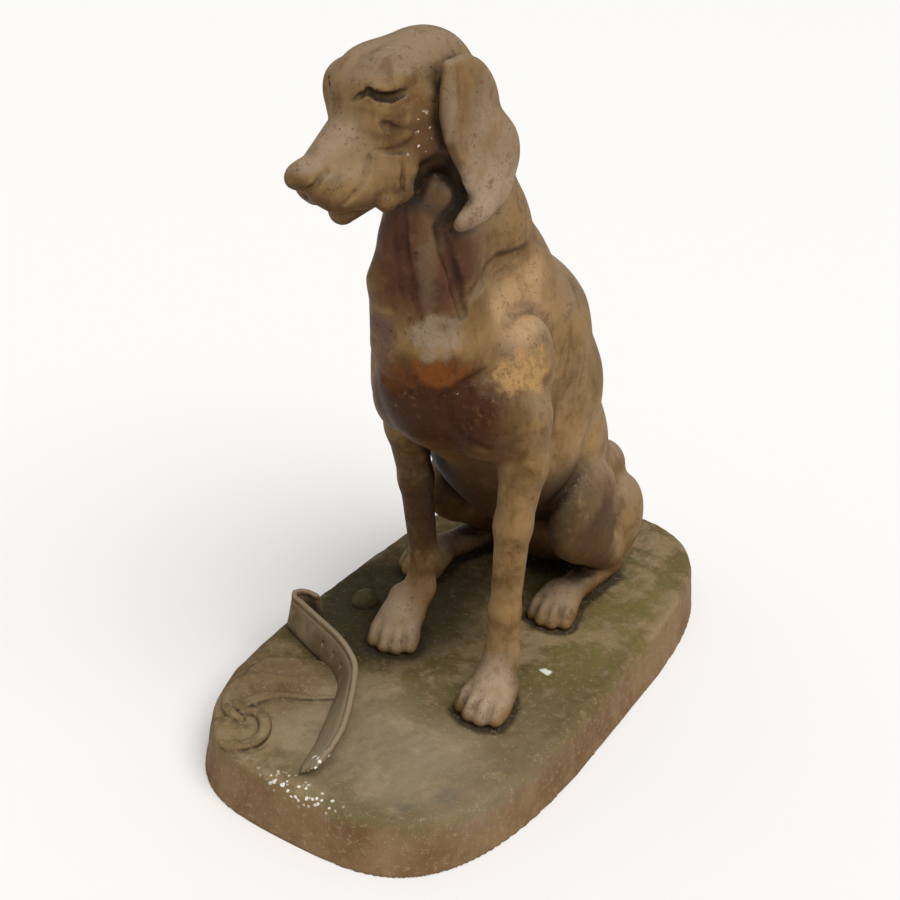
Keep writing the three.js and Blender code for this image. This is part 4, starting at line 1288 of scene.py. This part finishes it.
def strap_iron():
    f = Finish("strap_iron")
    cavity = f.read("cavity")
    mottle = f.noise(30, 6, 0.62, 0.3)
    fleck = f.noise(6, 5, 0.65)
    grain = f.noise(2.0, 3, 0.6)
    loose = f.ragged(14, 12)
    colour = f.blend(f.span(mottle, 0.32, 0.6), *STRAP_FACE)
    # painted highlight: faces that look up, above all the rim, made paler
    wear_and_highlight = f.span(f.read("upward") + (mottle - 0.5) * 0.5, 0.35, 0.85)
    colour = f.blend(wear_and_highlight * 0.7, colour, STRAP_HIGHLIGHT)
    # painted shade: the strap darkened towards the plinth's top
    colour = f.blend(f.span(cavity + (mottle - 0.5) * 0.3, 0.2, 0.8) * 0.85, colour, BLACK_BROWN)
    rust_spots = f.span(fleck + (mottle - 0.5) * 0.5, 0.58, 0.72)
    colour = f.blend(rust_spots * 0.5, colour, STRAP_RUST)
    tip = f.patch(loose, (2, -392, 92), (26, 22, 26), 0.35)
    drops = 1.0 - f.span(f.spots(9) + (fleck - 0.5) * 0.3, 0.2, 0.32)
    colour = f.blend(tip * drops, colour, LIME)
    height = mottle * 0.5 + fleck * 0.35 + grain * 0.15
    return f.close(colour, (0.58 + mottle * 0.25).held(), 0.0, height, 1.4)


# Pieces


def shading_readings(obj, form):
    """Keeps, for each vertex, how deep it lies in a hollow and how far its face looks up. The finishes paint
    shade into the hollows from these, and on the hound also painted shade under faces that look down and
    painted highlight on faces that look up.
    """
    points = points_of(obj)
    normal = steepest(form, points, 1.2)
    hollow_by = np.zeros(len(points), np.float32)
    for reach, share in ((6.0, 0.4), (16.0, 0.35), (36.0, 0.25)):
        hollow_by += share * np.clip(1 - form.value(points + normal * reach) / reach, 0, 1)
    reading(obj, "cavity", hollow_by)
    reading(obj, "upward", normal[:, 2])


def casting(name, form, box, cell, triangles, material):
    """The form's surface as a mesh piece."""
    points, quads = largest(*surface(form, *box, cell))
    return thinned(mesh_object(name, points, quads, [material]), triangles)


raised = placed([0, 0, PLINTH_HEIGHT + CASTING_GAP], 0, 0, 0, hound())
hound_piece = casting("hound_casting", raised, HOUND_BOX, HOUND_CELL, HOUND_TRIANGLES, hound_iron())
cut_flat(hound_piece, PLINTH_HEIGHT - SOLE_SINK)
shading_readings(hound_piece, raised)

slab = plinth_form()
plinth_piece = casting("plinth_casting", slab, PLINTH_BOX, PLINTH_CELL, PLINTH_TRIANGLES, plinth_iron())
shading_readings(plinth_piece, join(6, slab, raised))

strap_finish = strap_iron()
strap_piece = strap_mesh(strap_finish)
stitches = stitch_row(strap_finish)

for piece, node, slot in (
    (hound_piece, "hound", "hound_iron"), (plinth_piece, "plinth", "plinth_iron"),
    (strap_piece, "collar_strap", "strap_iron"),
):
    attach(piece, "root")
    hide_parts(node)
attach(stitches, "root")


# Floor, light and camera

corners = [[x * FLOOR_HALF, y * FLOOR_HALF, 0] for x, y in ((-1, -1), (1, -1), (1, 1), (-1, 1))]
pale = bpy.data.materials.new("pale_floor")
pale.use_nodes = True
pale_shader = pale.node_tree.nodes["Principled BSDF"]
pale_shader.inputs["Base Color"].default_value = FLOOR_COLOUR
pale_shader.inputs["Roughness"].default_value = FLOOR_ROUGHNESS
mesh_object("floor", corners, [[0, 1, 2, 3]], [pale])

world = bpy.data.worlds.new("studio")
bpy.context.scene.world = world
world.use_nodes = True
world.node_tree.nodes["Background"].inputs["Color"].default_value = ROOM_COLOUR
world.node_tree.nodes["Background"].inputs["Strength"].default_value = ROOM_STRENGTH

sky = bpy.data.lights.new("soft_sky", "SUN")
sky.energy = SKY_STRENGTH
sky.angle = math.radians(SKY_SPREAD)
put("soft_sky", sky).rotation_euler = (-SKY_FROM).to_track_quat("-Z", "Y").to_euler()

elevation, azimuth, roll = (math.radians(v) for v in (CAMERA_ELEVATION, CAMERA_AZIMUTH, CAMERA_ROLL))
flat = math.cos(elevation)
back = Vector((math.sin(azimuth) * flat, -math.cos(azimuth) * flat, math.sin(elevation)))
level = (-back).cross(Vector((0, 0, 1))).normalized()
upright = level.cross(-back)
right = level * math.cos(roll) + upright * math.sin(roll)
up = upright * math.cos(roll) - level * math.sin(roll)
turn = Matrix((right, up, back)).transposed().to_4x4()
lens = bpy.data.cameras.new("camera")
lens.lens = CAMERA_LENS
lens.sensor_width = CAMERA_SENSOR
camera = put("camera", lens)
camera.matrix_world = Matrix.Translation(CAMERA_TARGET + back * CAMERA_DISTANCE) @ turn
bpy.context.scene.camera = camera
bpy.context.scene.view_settings.view_transform = "Standard"
